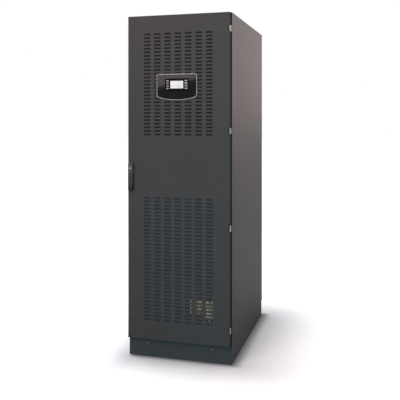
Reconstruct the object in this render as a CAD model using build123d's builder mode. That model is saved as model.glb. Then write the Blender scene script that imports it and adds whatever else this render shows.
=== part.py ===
"""Modular UPS cabinet: a floor-standing steel cabinet with a slotted hinged front door.

Units are millimetres. X runs across the front, Y from the front to the back and Z up.
The origin is on the floor, under the middle of the overall box.
"""
import os
from build123d import *

os.makedirs("parts", exist_ok=True)

# Cabinet body
body_width = 600.0
body_height = 1920.0
body_depth = 920.0
roof_sheet = 2.0
panel_sheet = 1.5
panel_flange = 10.0
panel_edge_radius = 1.0

# Plinth
plinth_height = 98.0
plinth_side_inset = 2.0
plinth_rear_inset = 10.0
plinth_sheet = 2.5
plinth_flange = 50.0
bolt_radius = 6.5
bolt_span = 500.0
bolt_edge = 25.0

# Frame of square tube
tube = 40.0
tube_wall = 2.0
panel_bottom_lift = 2.0

# Floor plate with its cable entry, and the partition behind it
floor_sheet = 2.0
cable_entry_width = 320.0
cable_entry_depth = 140.0
cable_entry_front = 420.0
partition_gap = 20.0
partition_sheet = 2.0

# Door
door_side_gap = 5.0
door_gap = 5.0
door_depth = 25.0
door_sheet = 2.0
door_bottom = 105.0
door_top_drop = 2.0
door_edge_radius = 1.5
stiffener_width = 30.0
stiffener_depth = 15.0
stiffener_sheet = 1.5
stiffener_gap = 16.0
stiffener_end_gap = 45.0

# Ventilation slots, in an upper and a lower field
slot_width = 38.0
slot_height = 10.0
slot_column_pitch = 60.0
slot_row_pitch = 20.0
slot_columns = 7
upper_field_drop = 100.0
upper_rows = 29
lower_field_drop = 1015.0
lower_rows = 35

# Hinges: barrels at the door's right edge, placed down the door's height
hinge_drop_shares = (0.0487, 0.355, 0.6465, 0.9515)
barrel_radius = 4.5
pin_radius = 2.0
running_fit = 0.05
knuckle = 10.5
knuckle_gap = 0.5
hinge_setback = 5.0
leaf_thickness = 2.0
leaf_setback = 8.0
leaf_side_gap = 0.5
notch_clearance = 2.5

# Display on the door
display_shift = -5.0
display_width = 234.0
display_side_height = 128.0
display_belly = 18.0
display_drop = 329.0
display_top_radius = 13.0
display_bottom_radius = 20.0
bezel_width = 3.0
bezel_fit = 0.1
bezel_projection = 6.0
bezel_edge_radius = 1.2
face_projection = 4.0
screen_width = 76.0
screen_height = 47.0
screen_drop = 36.0
screen_pocket = 1.5
screen_recess = 0.2
key_width = 9.0
key_height = 6.5
key_radius = 1.6
key_proud = 0.5
key_pitch = 14.0
key_rows = 4
key_column_gap = 11.0
housing_width = 196.0
housing_height = 104.0
housing_depth = 36.0
neck_margin = 12.0
cutout_clearance = 0.5

# Handle at the door's left edge
handle_drop = 825.0
handle_base_width = 36.0
handle_base_height = 161.0
handle_base_thickness = 6.0
handle_base_edge = 1.0
handle_base_radius = 8.0
handle_standoff = 5.0
lever_thickness = 9.0
lever_width = 24.0
lever_foot_gap = 5.0
lever_radius = 5.0
handle_edge_radius = 1.5
head_drop = 32.0
head_top_gap = 5.0
spindle_radius = 8.0
spindle_sink = 4.0
lock_radius = 6.0
lock_recess = 0.6
lever_pin_radius = 1.8
lever_pin_drop = 27.0
ear_width = 5.0
ear_gap = 0.4
tongue_clearance = 1.0
lock_case_width = 28.0
lock_case_height = 120.0
lock_case_depth = 18.0

# Plug-in modules behind the door, on 19 inch rails
rail_sheet = 2.0
rail_face_width = 28.0
rail_depth = 30.0
rail_setback = 60.0
rear_rail_distance = 640.0
module_plate_width = 482.0
module_plate_sheet = 3.0
module_body_width = 436.0
module_pitch = 140.0
module_gap = 2.0
module_body_gap = 8.0
module_depth = 670.0
modules_bottom = 480.0
lower_modules = 3
upper_modules = 4
bypass_height = 350.0
pull_lip_width = 130.0
pull_lip_height = 9.0
pull_lip_depth = 12.0
pull_lip_rise = 14.0

# Terminals in the bottom compartment, at the right
terminal_plate_left = 22.0
terminal_plate_width = 218.0
terminal_plate_height = 222.0
terminal_plate_setback = 134.0
terminal_sheet = 2.0
terminal_foot = 40.0
terminal_block_height = 62.0
terminal_block_depth = 30.0
terminal_block_drop = 20.0
terminal_count = 5
terminal_bar_width = 24.0
terminal_bar_height = 88.0
terminal_bar_thickness = 4.0
terminal_stud_radius = 5.0
terminal_stud_length = 9.0

# Fixing screws on the plinth and side panels
screw_radius = 5.0
screw_proud = 1.2
socket_radius = 2.6
socket_depth = 0.8
plinth_screw_span = 378.0
plinth_screw_low = 13.0
plinth_screw_high = 73.0
side_screw_setback = 67.0
panel_screw_lift = 17.0

overrun = 5.0

# Places worked out from the sizes above
handle_projection = handle_base_thickness + handle_standoff + lever_thickness
overall_depth = handle_projection + door_depth + door_gap + body_depth
door_front = handle_projection - overall_depth / 2
door_back = door_front + door_depth
body_front = door_back + door_gap
body_back = body_front + body_depth
half_width = body_width / 2
panel_bottom = plinth_height + panel_bottom_lift
roof_bottom = body_height - roof_sheet
tube_outer = half_width - panel_flange
tube_inner = tube_outer - tube
frame_back = body_back - panel_flange
door_width = body_width - 2 * door_side_gap
door_top = body_height - door_top_drop
door_height = door_top - door_bottom
door_middle = (door_top + door_bottom) / 2
door_right = half_width - door_side_gap
slot_field_width = (slot_columns - 1) * slot_column_pitch + slot_width


def front_plane(y, height=0.0):
    """A plane that faces the front: its local X is X, its local Y is Z, and it looks along -Y."""
    return Plane(origin=(0, y, height), x_dir=(1, 0, 0), z_dir=(0, -1, 0))


def save(piece, name):
    """Label a finished piece and write it to its own file."""
    piece.part.label = name
    export_step(piece.part, f"parts/{name}.step")


def channel_profile(plane, height, flange, sheet):
    """A C section: its web stands on the plane's local Y, and its flanges point along local X."""
    with BuildSketch(plane) as profile:
        Rectangle(flange, height, align=(Align.MIN, Align.MIN))
        with Locations((sheet, sheet)):
            Rectangle(flange, height - 2 * sheet, align=(Align.MIN, Align.MIN), mode=Mode.SUBTRACT)
    return profile.sketch


def pan(plane, width, height, depth, sheet):
    """A folded pan: its plate lies on the plane, its flanges point away from the plane's normal."""
    with BuildSketch(plane) as plate:
        Rectangle(width, height)
    extrude(plate.sketch, amount=-sheet)
    with BuildSketch(plane) as rim:
        Rectangle(width, height)
        Rectangle(width - 2 * sheet, height - 2 * sheet, mode=Mode.SUBTRACT)
    extrude(rim.sketch, amount=-depth)


def cut_slots(plate, sheet):
    """Cut the two fields of slots through a sheet whose outer face is a plane at the door's middle."""
    for drop, rows in ((upper_field_drop, upper_rows), (lower_field_drop, lower_rows)):
        field_height = (rows - 1) * slot_row_pitch + slot_height
        with Locations(plate * Location((0, door_height / 2 - drop - field_height / 2, 0))):
            with GridLocations(slot_column_pitch, slot_row_pitch, slot_columns, rows):
                Box(slot_width, slot_height, 2 * sheet, mode=Mode.SUBTRACT)


# Plinth: four C channels with their flanges inwards
plinth_side = half_width - plinth_side_inset
plinth_back = body_back - plinth_rear_inset
bolt_front_y = body_front + bolt_edge
bolt_back_y = plinth_back - bolt_edge
facing_back = Plane(origin=(0, body_front, 0), x_dir=(0, 1, 0), z_dir=(1, 0, 0))
facing_front = Plane(origin=(0, plinth_back, 0), x_dir=(0, -1, 0), z_dir=(-1, 0, 0))
for name, plane, hole_y in (
    ("plinth_front", facing_back, bolt_front_y),
    ("plinth_rear", facing_front, bolt_back_y),
):
    with BuildPart() as plinth_rail:
        section = channel_profile(plane, plinth_height, plinth_flange, plinth_sheet)
        extrude(section, amount=plinth_side, both=True)
        with BuildSketch(Plane.XY):
            with Locations((0, hole_y)):
                with GridLocations(bolt_span, 0, 2, 1):
                    Circle(bolt_radius)
        extrude(amount=plinth_sheet, mode=Mode.SUBTRACT)
    save(plinth_rail, name)

plinth_front = body_front
plinth_middle = (plinth_front + plinth_back) / 2
plinth_side_length = plinth_back - plinth_front - 2 * plinth_flange
with BuildPart() as plinth_sides:
    left_wall = Plane(origin=(-plinth_side, plinth_middle, 0), x_dir=(1, 0, 0), z_dir=(0, -1, 0))
    right_wall = Plane(origin=(plinth_side, plinth_middle, 0), x_dir=(-1, 0, 0), z_dir=(0, 1, 0))
    for plane in (left_wall, right_wall):
        section = channel_profile(plane, plinth_height, plinth_flange, plinth_sheet)
        extrude(section, amount=plinth_side_length / 2, both=True)
    end_length = plinth_flange - plinth_sheet
    for x in (-plinth_side + plinth_sheet / 2, plinth_side - plinth_sheet / 2):
        for end_y in (plinth_front + plinth_flange - end_length / 2, plinth_back - plinth_flange + end_length / 2):
            with BuildSketch(Plane.XY.offset(plinth_sheet)):
                with Locations((x, end_y)):
                    Rectangle(plinth_sheet, end_length)
            extrude(amount=plinth_height - 2 * plinth_sheet)
save(plinth_sides, "plinth_sides")

# Frame: four posts and the rails between them
post_bottom = plinth_height
post_places = {
    "post_front_left": (-tube_outer + tube / 2, body_front + tube / 2),
    "post_front_right": (tube_outer - tube / 2, body_front + tube / 2),
    "post_rear_left": (-tube_outer + tube / 2, frame_back - tube / 2),
    "post_rear_right": (tube_outer - tube / 2, frame_back - tube / 2),
}
for name, place in post_places.items():
    with BuildPart() as post:
        with BuildSketch(Plane.XY.offset(post_bottom)):
            with Locations(place):
                Rectangle(tube, tube)
                Rectangle(tube - 2 * tube_wall, tube - 2 * tube_wall, mode=Mode.SUBTRACT)
        extrude(amount=roof_bottom - post_bottom)
    save(post, name)

rail_front_y = body_front + tube / 2
rail_back_y = frame_back - tube / 2
cross_rail_half = tube_inner
side_rail_half = (rail_back_y - rail_front_y - tube) / 2
frame_middle = (rail_front_y + rail_back_y) / 2
for name, rail_bottom in (("base_rails", plinth_height), ("top_rails", roof_bottom - tube)):
    with BuildPart() as rails:
        for y in (rail_front_y, rail_back_y):
            with BuildSketch(Plane.YZ):
                with Locations((y, rail_bottom + tube / 2)):
                    Rectangle(tube, tube)
                    Rectangle(tube - 2 * tube_wall, tube - 2 * tube_wall, mode=Mode.SUBTRACT)
            extrude(amount=cross_rail_half, both=True)
        for x in (-tube_outer + tube / 2, tube_outer - tube / 2):
            with BuildSketch(front_plane(frame_middle)):
                with Locations((x, rail_bottom + tube / 2)):
                    Rectangle(tube, tube)
                    Rectangle(tube - 2 * tube_wall, tube - 2 * tube_wall, mode=Mode.SUBTRACT)
            extrude(amount=side_rail_half, both=True)
    save(rails, name)

# Roof sheet
with BuildPart() as roof_panel:
    with BuildSketch(Plane.XY.offset(roof_bottom)):
        with Locations((0, (body_front + body_back) / 2)):
            Rectangle(body_width, body_depth)
    extrude(amount=roof_sheet)
save(roof_panel, "roof_panel")

# Side panels: folded pans on the frame's outer faces
side_panel_height = roof_bottom - panel_bottom
side_panel_middle = (roof_bottom + panel_bottom) / 2
for name, side in (("side_panel_left", -1), ("side_panel_right", 1)):
    outer = Plane(
        origin=(side * half_width, (body_front + body_back) / 2, side_panel_middle),
        x_dir=(0, side, 0),
        z_dir=(side, 0, 0),
    )
    with BuildPart() as side_panel:
        pan(outer, body_depth, side_panel_height, panel_flange, panel_sheet)
        outer_face = side_panel.faces().sort_by(Axis.X)[-1 if side > 0 else 0]
        fillet(outer_face.outer_wire().edges(), panel_edge_radius)
    save(side_panel, name)

# Rear panel: a folded pan between the side panels, with the same slots as the door
rear_half = tube_outer
with BuildPart() as rear_panel:
    rear_face = Plane(origin=(0, body_back, side_panel_middle), x_dir=(-1, 0, 0), z_dir=(0, 1, 0))
    pan(rear_face, 2 * rear_half, side_panel_height, panel_flange, panel_sheet)
    cut_slots(Plane(origin=(0, body_back, door_middle), x_dir=(-1, 0, 0), z_dir=(0, 1, 0)), panel_sheet)
save(rear_panel, "rear_panel")

# Floor plate between the base rails, with the cable entry
floor_front = body_front + tube
floor_back = frame_back - tube
with BuildPart() as floor_plate:
    with BuildSketch(Plane.XY.offset(plinth_height)):
        with Locations((0, (floor_front + floor_back) / 2)):
            Rectangle(2 * tube_inner, floor_back - floor_front)
        with Locations((0, floor_front + cable_entry_front)):
            Rectangle(cable_entry_width, cable_entry_depth, mode=Mode.SUBTRACT)
    extrude(amount=floor_sheet)
save(floor_plate, "floor_plate")

# Partition that closes the bottom compartment behind the cable entry
partition_y = floor_front + cable_entry_front + cable_entry_depth / 2 + partition_gap
partition_bottom = plinth_height + floor_sheet
with BuildPart() as compartment_back:
    with BuildSketch(front_plane(partition_y)):
        with Locations((0, partition_bottom)):
            partition_height = modules_bottom - partition_bottom
            Rectangle(2 * tube_inner, partition_height, align=(Align.CENTER, Align.MIN))
    extrude(amount=-partition_sheet)
save(compartment_back, "compartment_back")

# Hinges
hinge_x = half_width - barrel_radius
hinge_y = door_front + hinge_setback
hinge_heights = [door_top - share * door_height for share in hinge_drop_shares]
barrel_half = 1.5 * knuckle + knuckle_gap
with BuildPart() as hinge_brackets:
    for z in hinge_heights:
        for side in (-1, 1):
            with BuildSketch(Plane.XY.offset(z + side * (knuckle + knuckle_gap))):
                with Locations((hinge_x, hinge_y)):
                    Circle(barrel_radius)
                with Locations((hinge_x + leaf_side_gap, hinge_y)):
                    Rectangle(leaf_thickness, leaf_setback + overrun, align=(Align.MIN, Align.MIN))
            extrude(amount=knuckle / 2, both=True)
        with BuildSketch(Plane.XY.offset(z)):
            with Locations((hinge_x, hinge_y)):
                Circle(pin_radius)
        extrude(amount=barrel_half, both=True)
        with BuildSketch(Plane.XY.offset(z)):
            with Locations((hinge_x + leaf_side_gap, hinge_y + leaf_setback)):
                Rectangle(leaf_thickness, body_front - hinge_y - leaf_setback, align=(Align.MIN, Align.MIN))
        extrude(amount=barrel_half, both=True)
save(hinge_brackets, "hinge_brackets")

with BuildPart() as hinge_leaves:
    for z in hinge_heights:
        with BuildSketch(Plane.XY.offset(z)):
            with Locations((hinge_x, hinge_y)):
                Circle(barrel_radius)
            with Locations((door_right - door_sheet - leaf_thickness, hinge_y)):
                Rectangle(leaf_thickness, door_back - hinge_y, align=(Align.MIN, Align.MIN))
            with Locations((hinge_x, hinge_y)):
                Circle(pin_radius + running_fit, mode=Mode.SUBTRACT)
        extrude(amount=knuckle / 2, both=True)
save(hinge_leaves, "hinge_leaves")

# Door: a folded pan with the slots, the display's cut-out and a notch at each hinge
display_x = display_shift
display_top = door_top - display_drop
display_middle = display_top - display_side_height / 2
neck_width = housing_width - 2 * neck_margin
neck_height = housing_height - 2 * neck_margin
notch_half = barrel_half + notch_clearance
notch_left = hinge_x - barrel_radius - notch_clearance
notch_depth = hinge_setback + barrel_radius + notch_clearance
with BuildPart() as door_skin:
    door_face = front_plane(door_front, door_middle)
    pan(door_face, door_width, door_height, door_depth, door_sheet)
    fillet(door_skin.faces().sort_by(Axis.Y)[0].outer_wire().edges(), door_edge_radius)
    with BuildSketch(front_plane(door_front)):
        with Locations((display_x, display_middle)):
            Rectangle(neck_width + 2 * cutout_clearance, neck_height + 2 * cutout_clearance)
    extrude(amount=-door_sheet, mode=Mode.SUBTRACT)
    with BuildSketch(front_plane(door_front)):
        for z in hinge_heights:
            with Locations((notch_left, z)):
                Rectangle(door_right - notch_left + overrun, 2 * notch_half, align=(Align.MIN, Align.CENTER))
    extrude(amount=-notch_depth, mode=Mode.SUBTRACT)
    cut_slots(door_face, door_sheet)
save(door_skin, "door_skin")

# Door stiffeners: two hat channels behind the door's plate, one each side of the slots
stiffener_x = slot_field_width / 2 + stiffener_gap + stiffener_width / 2
stiffener_front = door_front + door_sheet
for name, side in (("door_stiffener_left", -1), ("door_stiffener_right", 1)):
    with BuildPart() as stiffener:
        with BuildSketch(Plane.XY.offset(door_bottom + stiffener_end_gap)):
            with Locations((side * stiffener_x, stiffener_front)):
                Rectangle(stiffener_width, stiffener_depth, align=(Align.CENTER, Align.MIN))
                Rectangle(
                    stiffener_width - 2 * stiffener_sheet,
                    stiffener_depth - stiffener_sheet,
                    align=(Align.CENTER, Align.MIN),
                    mode=Mode.SUBTRACT,
                )
        extrude(amount=door_height - 2 * stiffener_end_gap)
    save(stiffener, name)


# Display: a bezel with a bowed lower edge round a glossy face
def display_outline(inset):
    """The display's outline, drawn in by an inset: straight top and sides, bowed bottom."""
    half = display_width / 2 - inset
    top = display_top - inset
    side_bottom = display_top - display_side_height + inset
    with BuildLine() as outline:
        Line((-half, side_bottom), (-half, top))
        Line((-half, top), (half, top))
        Line((half, top), (half, side_bottom))
        ThreePointArc((half, side_bottom), (0, side_bottom - display_belly), (-half, side_bottom))
    return outline.edges()


def display_profile(plane, inset):
    """The display's outline as a face with rounded corners, on a plane at the display's middle."""
    with BuildSketch(plane) as profile:
        make_face(display_outline(inset))
        fillet(profile.vertices().group_by(Axis.Y)[-1], display_top_radius - inset)
        fillet(profile.vertices().sort_by(Axis.Y)[:2], display_bottom_radius - inset)
    return profile.sketch


face_front = door_front - face_projection
display_plane = Plane(origin=(display_x, door_front, 0), x_dir=(1, 0, 0), z_dir=(0, -1, 0))
screen_top = display_top - screen_drop
screen_middle = screen_top - screen_height / 2
with BuildPart() as display_bezel:
    extrude(display_profile(display_plane, 0.0), amount=bezel_projection)
    fillet(display_bezel.faces().sort_by(Axis.Y)[0].outer_wire().edges(), bezel_edge_radius)
    extrude(display_profile(display_plane, bezel_width), amount=bezel_projection, mode=Mode.SUBTRACT)
save(display_bezel, "display_bezel")

with BuildPart() as display_face:
    extrude(display_profile(display_plane, bezel_width + bezel_fit), amount=face_projection)
    with BuildSketch(front_plane(face_front)):
        with Locations((display_x, screen_middle)):
            Rectangle(screen_width, screen_height)
    extrude(amount=-screen_pocket, mode=Mode.SUBTRACT)
save(display_face, "display_face")

with BuildPart() as display_screen:
    with BuildSketch(front_plane(face_front + screen_pocket)):
        with Locations((display_x, screen_middle)):
            Rectangle(screen_width, screen_height)
    extrude(amount=screen_pocket - screen_recess)
save(display_screen, "display_screen")

key_column = screen_width / 2 + key_column_gap + key_width / 2
with BuildPart() as display_keys:
    with BuildSketch(front_plane(face_front)):
        with Locations((display_x, screen_middle)):
            with GridLocations(2 * key_column, key_pitch, 2, key_rows):
                RectangleRounded(key_width, key_height, key_radius)
    extrude(amount=key_proud)
save(display_keys, "display_keys")

with BuildPart() as display_housing:
    with BuildSketch(front_plane(door_front)):
        with Locations((display_x, display_middle)):
            Rectangle(neck_width, neck_height)
    extrude(amount=-(door_sheet + housing_depth))
    with BuildSketch(front_plane(door_front + door_sheet)):
        with Locations((display_x, display_middle)):
            Rectangle(housing_width, housing_height)
    extrude(amount=-housing_depth)
save(display_housing, "display_housing")

# Handle: a base plate on the door, a turning head with the lock, and a lever that lifts out
handle_x = handle_base_edge + handle_base_width / 2 - door_right
handle_top = door_top - handle_drop
handle_base_front = door_front - handle_base_thickness
handle_back = handle_base_front - handle_standoff
handle_front = handle_back - lever_thickness
head_z = handle_top - head_drop
head_top = handle_top - head_top_gap
lever_pin_z = head_z - lever_pin_drop
lever_pin_y = (handle_back + handle_front) / 2
lever_bottom = handle_top - handle_base_height + lever_foot_gap
knuckle_radius = lever_thickness / 2
ear_inner = lever_width / 2 - ear_width
shoulder_z = lever_pin_z - knuckle_radius - tongue_clearance
head_bottom = lever_pin_z + knuckle_radius + tongue_clearance
ear_height = head_bottom - lever_pin_z + lever_radius
tongue_height = lever_pin_z - shoulder_z + lever_radius
lever_side = Plane(origin=(handle_x, lever_pin_y, lever_pin_z), x_dir=(0, 1, 0), z_dir=(1, 0, 0))
with BuildPart() as handle_base:
    with BuildSketch(front_plane(door_front)):
        with Locations((handle_x, handle_top - handle_base_height / 2)):
            RectangleRounded(handle_base_width, handle_base_height, handle_base_radius)
        with Locations((handle_x, head_z)):
            Circle(spindle_radius + running_fit, mode=Mode.SUBTRACT)
    extrude(amount=handle_base_thickness)
    fillet(handle_base.faces().sort_by(Axis.Y)[0].outer_wire().edges(), handle_edge_radius)
save(handle_base, "handle_base")

with BuildPart() as handle_head:
    with BuildSketch(front_plane(handle_back)):
        with Locations((handle_x, (head_top + head_bottom) / 2)):
            RectangleRounded(lever_width, head_top - head_bottom, lever_radius)
    extrude(amount=lever_thickness)
    fillet(handle_head.faces().sort_by(Axis.Y)[0].outer_wire().edges(), handle_edge_radius)
    for ear_x in (ear_inner, -lever_width / 2):
        with BuildSketch(lever_side.offset(ear_x)):
            Circle(knuckle_radius)
            Rectangle(lever_thickness, ear_height, align=(Align.CENTER, Align.MIN))
        extrude(amount=ear_width)
    with BuildSketch(front_plane(handle_front)):
        with Locations((handle_x, head_z)):
            Circle(lock_radius)
    extrude(amount=-lock_recess, mode=Mode.SUBTRACT)
    with BuildSketch(front_plane(handle_back)):
        with Locations((handle_x, head_z)):
            Circle(spindle_radius)
    extrude(amount=-(handle_standoff + spindle_sink))
    with BuildSketch(lever_side):
        Circle(lever_pin_radius + running_fit)
    extrude(amount=lever_width, both=True, mode=Mode.SUBTRACT)
save(handle_head, "handle_head")

with BuildPart() as handle_lever:
    with BuildSketch(front_plane(handle_back)):
        with Locations((handle_x, (shoulder_z + lever_bottom) / 2)):
            RectangleRounded(lever_width, shoulder_z - lever_bottom, lever_radius)
    extrude(amount=lever_thickness)
    fillet(handle_lever.faces().sort_by(Axis.Y)[0].outer_wire().edges(), handle_edge_radius)
    with BuildSketch(lever_side):
        Circle(knuckle_radius)
        Rectangle(lever_thickness, tongue_height, align=(Align.CENTER, Align.MAX))
    extrude(amount=ear_inner - ear_gap, both=True)
    with BuildSketch(lever_side):
        Circle(lever_pin_radius)
    extrude(amount=lever_width / 2, both=True)
save(handle_lever, "handle_lever")

with BuildPart() as lock_case:
    with BuildSketch(front_plane(door_front + door_sheet)):
        with Locations((handle_x, handle_top - handle_base_height / 2)):
            Rectangle(lock_case_width, lock_case_height)
    extrude(amount=-lock_case_depth)
save(lock_case, "lock_case")

# Module rails: angles on the posts, at the front and further back
rail_y = body_front + rail_setback
for name, side in (("module_rail_left", -1), ("module_rail_right", 1)):
    with BuildPart() as module_rail:
        for y in (rail_y, rail_y + rear_rail_distance):
            with BuildSketch(Plane.XY.offset(plinth_height + tube)):
                with Locations((side * (tube_inner - rail_face_width / 2), y)):
                    Rectangle(rail_face_width, rail_sheet, align=(Align.CENTER, Align.MIN))
                with Locations((side * (tube_inner - rail_sheet / 2), y)):
                    Rectangle(rail_sheet, rail_depth, align=(Align.CENTER, Align.MIN))
            extrude(amount=roof_bottom - plinth_height - 2 * tube)
    save(module_rail, name)

# Power modules and the bypass unit
bypass_bottom = modules_bottom + lower_modules * module_pitch
upper_bottom = bypass_bottom + bypass_height
module_places = [modules_bottom + index * module_pitch for index in range(lower_modules)]
module_places += [upper_bottom + index * module_pitch for index in range(upper_modules)]
for number, bottom in enumerate(module_places, start=1):
    with BuildPart() as power_module:
        with BuildSketch(front_plane(rail_y, bottom)):
            with Locations((0, module_pitch / 2)):
                Rectangle(module_plate_width, module_pitch - module_gap)
        extrude(amount=module_plate_sheet)
        with BuildSketch(front_plane(rail_y, bottom)):
            with Locations((0, module_pitch / 2)):
                Rectangle(module_body_width, module_pitch - module_body_gap)
        extrude(amount=-module_depth)
        with BuildSketch(front_plane(rail_y - module_plate_sheet, bottom)):
            with Locations((0, pull_lip_rise)):
                Rectangle(pull_lip_width, pull_lip_height)
        extrude(amount=pull_lip_depth)
    save(power_module, f"power_module_{number}")

with BuildPart() as bypass_unit:
    with BuildSketch(front_plane(rail_y, bypass_bottom)):
        with Locations((0, bypass_height / 2)):
            Rectangle(module_plate_width, bypass_height - module_gap)
    extrude(amount=module_plate_sheet)
    with BuildSketch(front_plane(rail_y, bypass_bottom)):
        with Locations((0, bypass_height / 2)):
            Rectangle(module_body_width, bypass_height - module_body_gap)
    extrude(amount=-module_depth)
save(bypass_unit, "bypass_unit")

# Terminals: a bracket on the floor plate, with a block and brass bars
terminal_y = body_front + terminal_plate_setback
terminal_floor = plinth_height + floor_sheet
terminal_top = terminal_floor + terminal_plate_height
terminal_middle_x = terminal_plate_left + terminal_plate_width / 2
block_middle_z = terminal_top - terminal_block_drop - terminal_bar_height / 2
terminal_pitch = terminal_plate_width / terminal_count
with BuildPart() as terminal_bracket:
    with BuildSketch(Plane.YZ.offset(terminal_middle_x)):
        with Locations((terminal_y, terminal_floor)):
            Rectangle(terminal_sheet, terminal_plate_height, align=(Align.MIN, Align.MIN))
            Rectangle(terminal_foot, terminal_sheet, align=(Align.MIN, Align.MIN))
    extrude(amount=terminal_plate_width / 2, both=True)
save(terminal_bracket, "terminal_bracket")

with BuildPart() as terminal_block:
    with BuildSketch(front_plane(terminal_y)):
        with Locations((terminal_middle_x, block_middle_z)):
            Rectangle(terminal_plate_width, terminal_block_height)
    extrude(amount=terminal_block_depth)
save(terminal_block, "terminal_block")

with BuildPart() as terminal_bars:
    with BuildSketch(front_plane(terminal_y - terminal_block_depth)):
        with Locations((terminal_middle_x, block_middle_z)):
            with GridLocations(terminal_pitch, 0, terminal_count, 1):
                Rectangle(terminal_bar_width, terminal_bar_height)
    extrude(amount=terminal_bar_thickness)
    with BuildSketch(front_plane(terminal_y - terminal_block_depth - terminal_bar_thickness)):
        with Locations((terminal_middle_x, block_middle_z)):
            with GridLocations(terminal_pitch, terminal_bar_height / 2, terminal_count, 2):
                Circle(terminal_stud_radius)
    extrude(amount=terminal_stud_length)
save(terminal_bars, "terminal_bars")


# Fixing screws: low round heads with a socket, on the plinth and the side panels
def screw_heads(plane, places):
    """Low round screw heads standing on a plane, each with a round socket."""
    with BuildSketch(plane) as heads:
        with Locations(*places):
            Circle(screw_radius)
    extrude(heads.sketch, amount=screw_proud)
    with BuildSketch(plane.offset(screw_proud)) as sockets:
        with Locations(*places):
            Circle(socket_radius)
    extrude(sockets.sketch, amount=-socket_depth, mode=Mode.SUBTRACT)


plinth_screw_rows = (plinth_screw_low, plinth_screw_high)
with BuildPart() as fixing_screws:
    half_span = plinth_screw_span / 2
    front_places = [(x, z) for x in (-half_span, half_span) for z in plinth_screw_rows]
    screw_heads(front_plane(body_front), front_places)
    for side in (-1, 1):
        wall = Plane(origin=(side * plinth_side, 0, 0), x_dir=(0, side, 0), z_dir=(side, 0, 0))
        ends = (body_front + side_screw_setback, plinth_back - side_screw_setback)
        screw_heads(wall, [(side * y, plinth_screw_high) for y in ends])
        panel = Plane(origin=(side * half_width, 0, 0), x_dir=(0, side, 0), z_dir=(side, 0, 0))
        middle = (body_front + body_back) / 2
        screw_heads(panel, [(side * middle, panel_bottom + panel_screw_lift)])
save(fixing_screws, "fixing_screws")
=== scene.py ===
import math

import bmesh
import bpy
from bpy.props import FloatProperty, FloatVectorProperty, PointerProperty
from mathutils import Matrix, Quaternion, Vector


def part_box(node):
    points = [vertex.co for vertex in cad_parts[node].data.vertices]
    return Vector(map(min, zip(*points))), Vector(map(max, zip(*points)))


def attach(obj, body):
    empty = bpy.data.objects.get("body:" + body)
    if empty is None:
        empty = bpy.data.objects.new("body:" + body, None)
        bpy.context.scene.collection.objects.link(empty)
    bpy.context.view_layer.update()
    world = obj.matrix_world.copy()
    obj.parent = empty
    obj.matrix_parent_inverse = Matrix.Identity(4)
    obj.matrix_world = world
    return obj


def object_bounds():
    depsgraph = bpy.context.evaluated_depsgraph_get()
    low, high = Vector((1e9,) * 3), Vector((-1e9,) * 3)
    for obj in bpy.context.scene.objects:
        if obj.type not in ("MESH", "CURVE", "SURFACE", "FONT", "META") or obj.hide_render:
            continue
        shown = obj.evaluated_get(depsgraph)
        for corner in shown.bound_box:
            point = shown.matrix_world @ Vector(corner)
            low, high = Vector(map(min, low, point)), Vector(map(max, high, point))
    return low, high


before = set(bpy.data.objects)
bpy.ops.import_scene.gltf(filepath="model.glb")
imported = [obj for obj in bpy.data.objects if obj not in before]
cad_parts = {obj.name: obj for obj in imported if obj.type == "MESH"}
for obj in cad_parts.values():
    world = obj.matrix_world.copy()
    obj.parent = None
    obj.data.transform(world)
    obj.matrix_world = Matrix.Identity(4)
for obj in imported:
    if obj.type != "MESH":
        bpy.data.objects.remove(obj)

bl_info = {
    "name": "UPS cabinet finish",
    "version": (1, 0, 0),
    "blender": (4, 5, 0),
    "location": "View3D > Sidebar > UPS cabinet",
    "description": "Finishes, fittings and studio for a modular UPS cabinet",
    "category": "Object",
}

MM = 0.001

# Places of the construction
CAD_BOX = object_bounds()
DOOR_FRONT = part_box("door_skin")[0].y
BODY_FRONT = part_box("side_panel_left")[0].y
SHEET_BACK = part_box("door_stiffener_left")[0].y
FACE_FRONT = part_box("display_face")[0].y
DOOR_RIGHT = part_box("door_skin")[1].x
LEVER_LOW, LEVER_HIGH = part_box("handle_lever")
HEAD_LOW, HEAD_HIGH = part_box("handle_head")

# Angles
TO_FRONT = (math.radians(90), 0.0, 0.0)
UPRIGHT = (0.0, 0.0, 0.0)
SMOOTH_ANGLE = math.radians(35)
SHARP_ANGLE = math.radians(40)

# Colours and coats that several finishes share
DUST_GREY = (0.26, 0.27, 0.275)
# Black for painted shade, and the black that the lever's coat darkens to at its foot
SHADE_BLACK = (0.018, 0.018, 0.019)
LEVER_FOOT_BLACK = (0.008, 0.008, 0.008)
LEVER_GREY = (0.039, 0.038, 0.040)
HEAD_GREY = (0.085, 0.083, 0.086)
LEVER_COAT = {"worn": (0.2, 0.2, 0.21), "roughness": 0.42, "grain": 1600.0}
HEAD_COAT = {"worn": (0.3, 0.3, 0.31), "roughness": 0.38, "grain": 1600.0}

# How far a small piece's edges are worn, where the painted shade and highlights start, and where the lever
# darkens towards its foot
FINE_WEAR = 0.8 * MM
SIDE_SKIN = 0.4 * MM
FRONT_SHADE_DEPTH = 0.8 * MM
BARREL_REACH = 9.2 * MM
BASE_SHADE_WIDTH = 5.5 * MM
DARKENING_START = 62.0 * MM
DARKENING_END = 2.0 * MM
LOCK_DROP = 27.0 * MM
LOCK_SHADE = 0.5 * MM

# The keys, and the grey fields round them in the black window
KEY_HALF = (4.5 * MM, 3.25 * MM)
KEY_PITCH = 14.0 * MM
FIELD_MARGIN_X = 3.5 * MM
FIELD_MARGIN_Z = 0.5 * MM
FIELD_END = 1.0 * MM
WINDOW_BLACKS = ((0.002, 0.002, 0.003), (0.004, 0.003, 0.005))
LEFT_FIELD = (0.23, 0.235, 0.25)
RIGHT_FIELD = (0.44, 0.43, 0.45)

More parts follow.
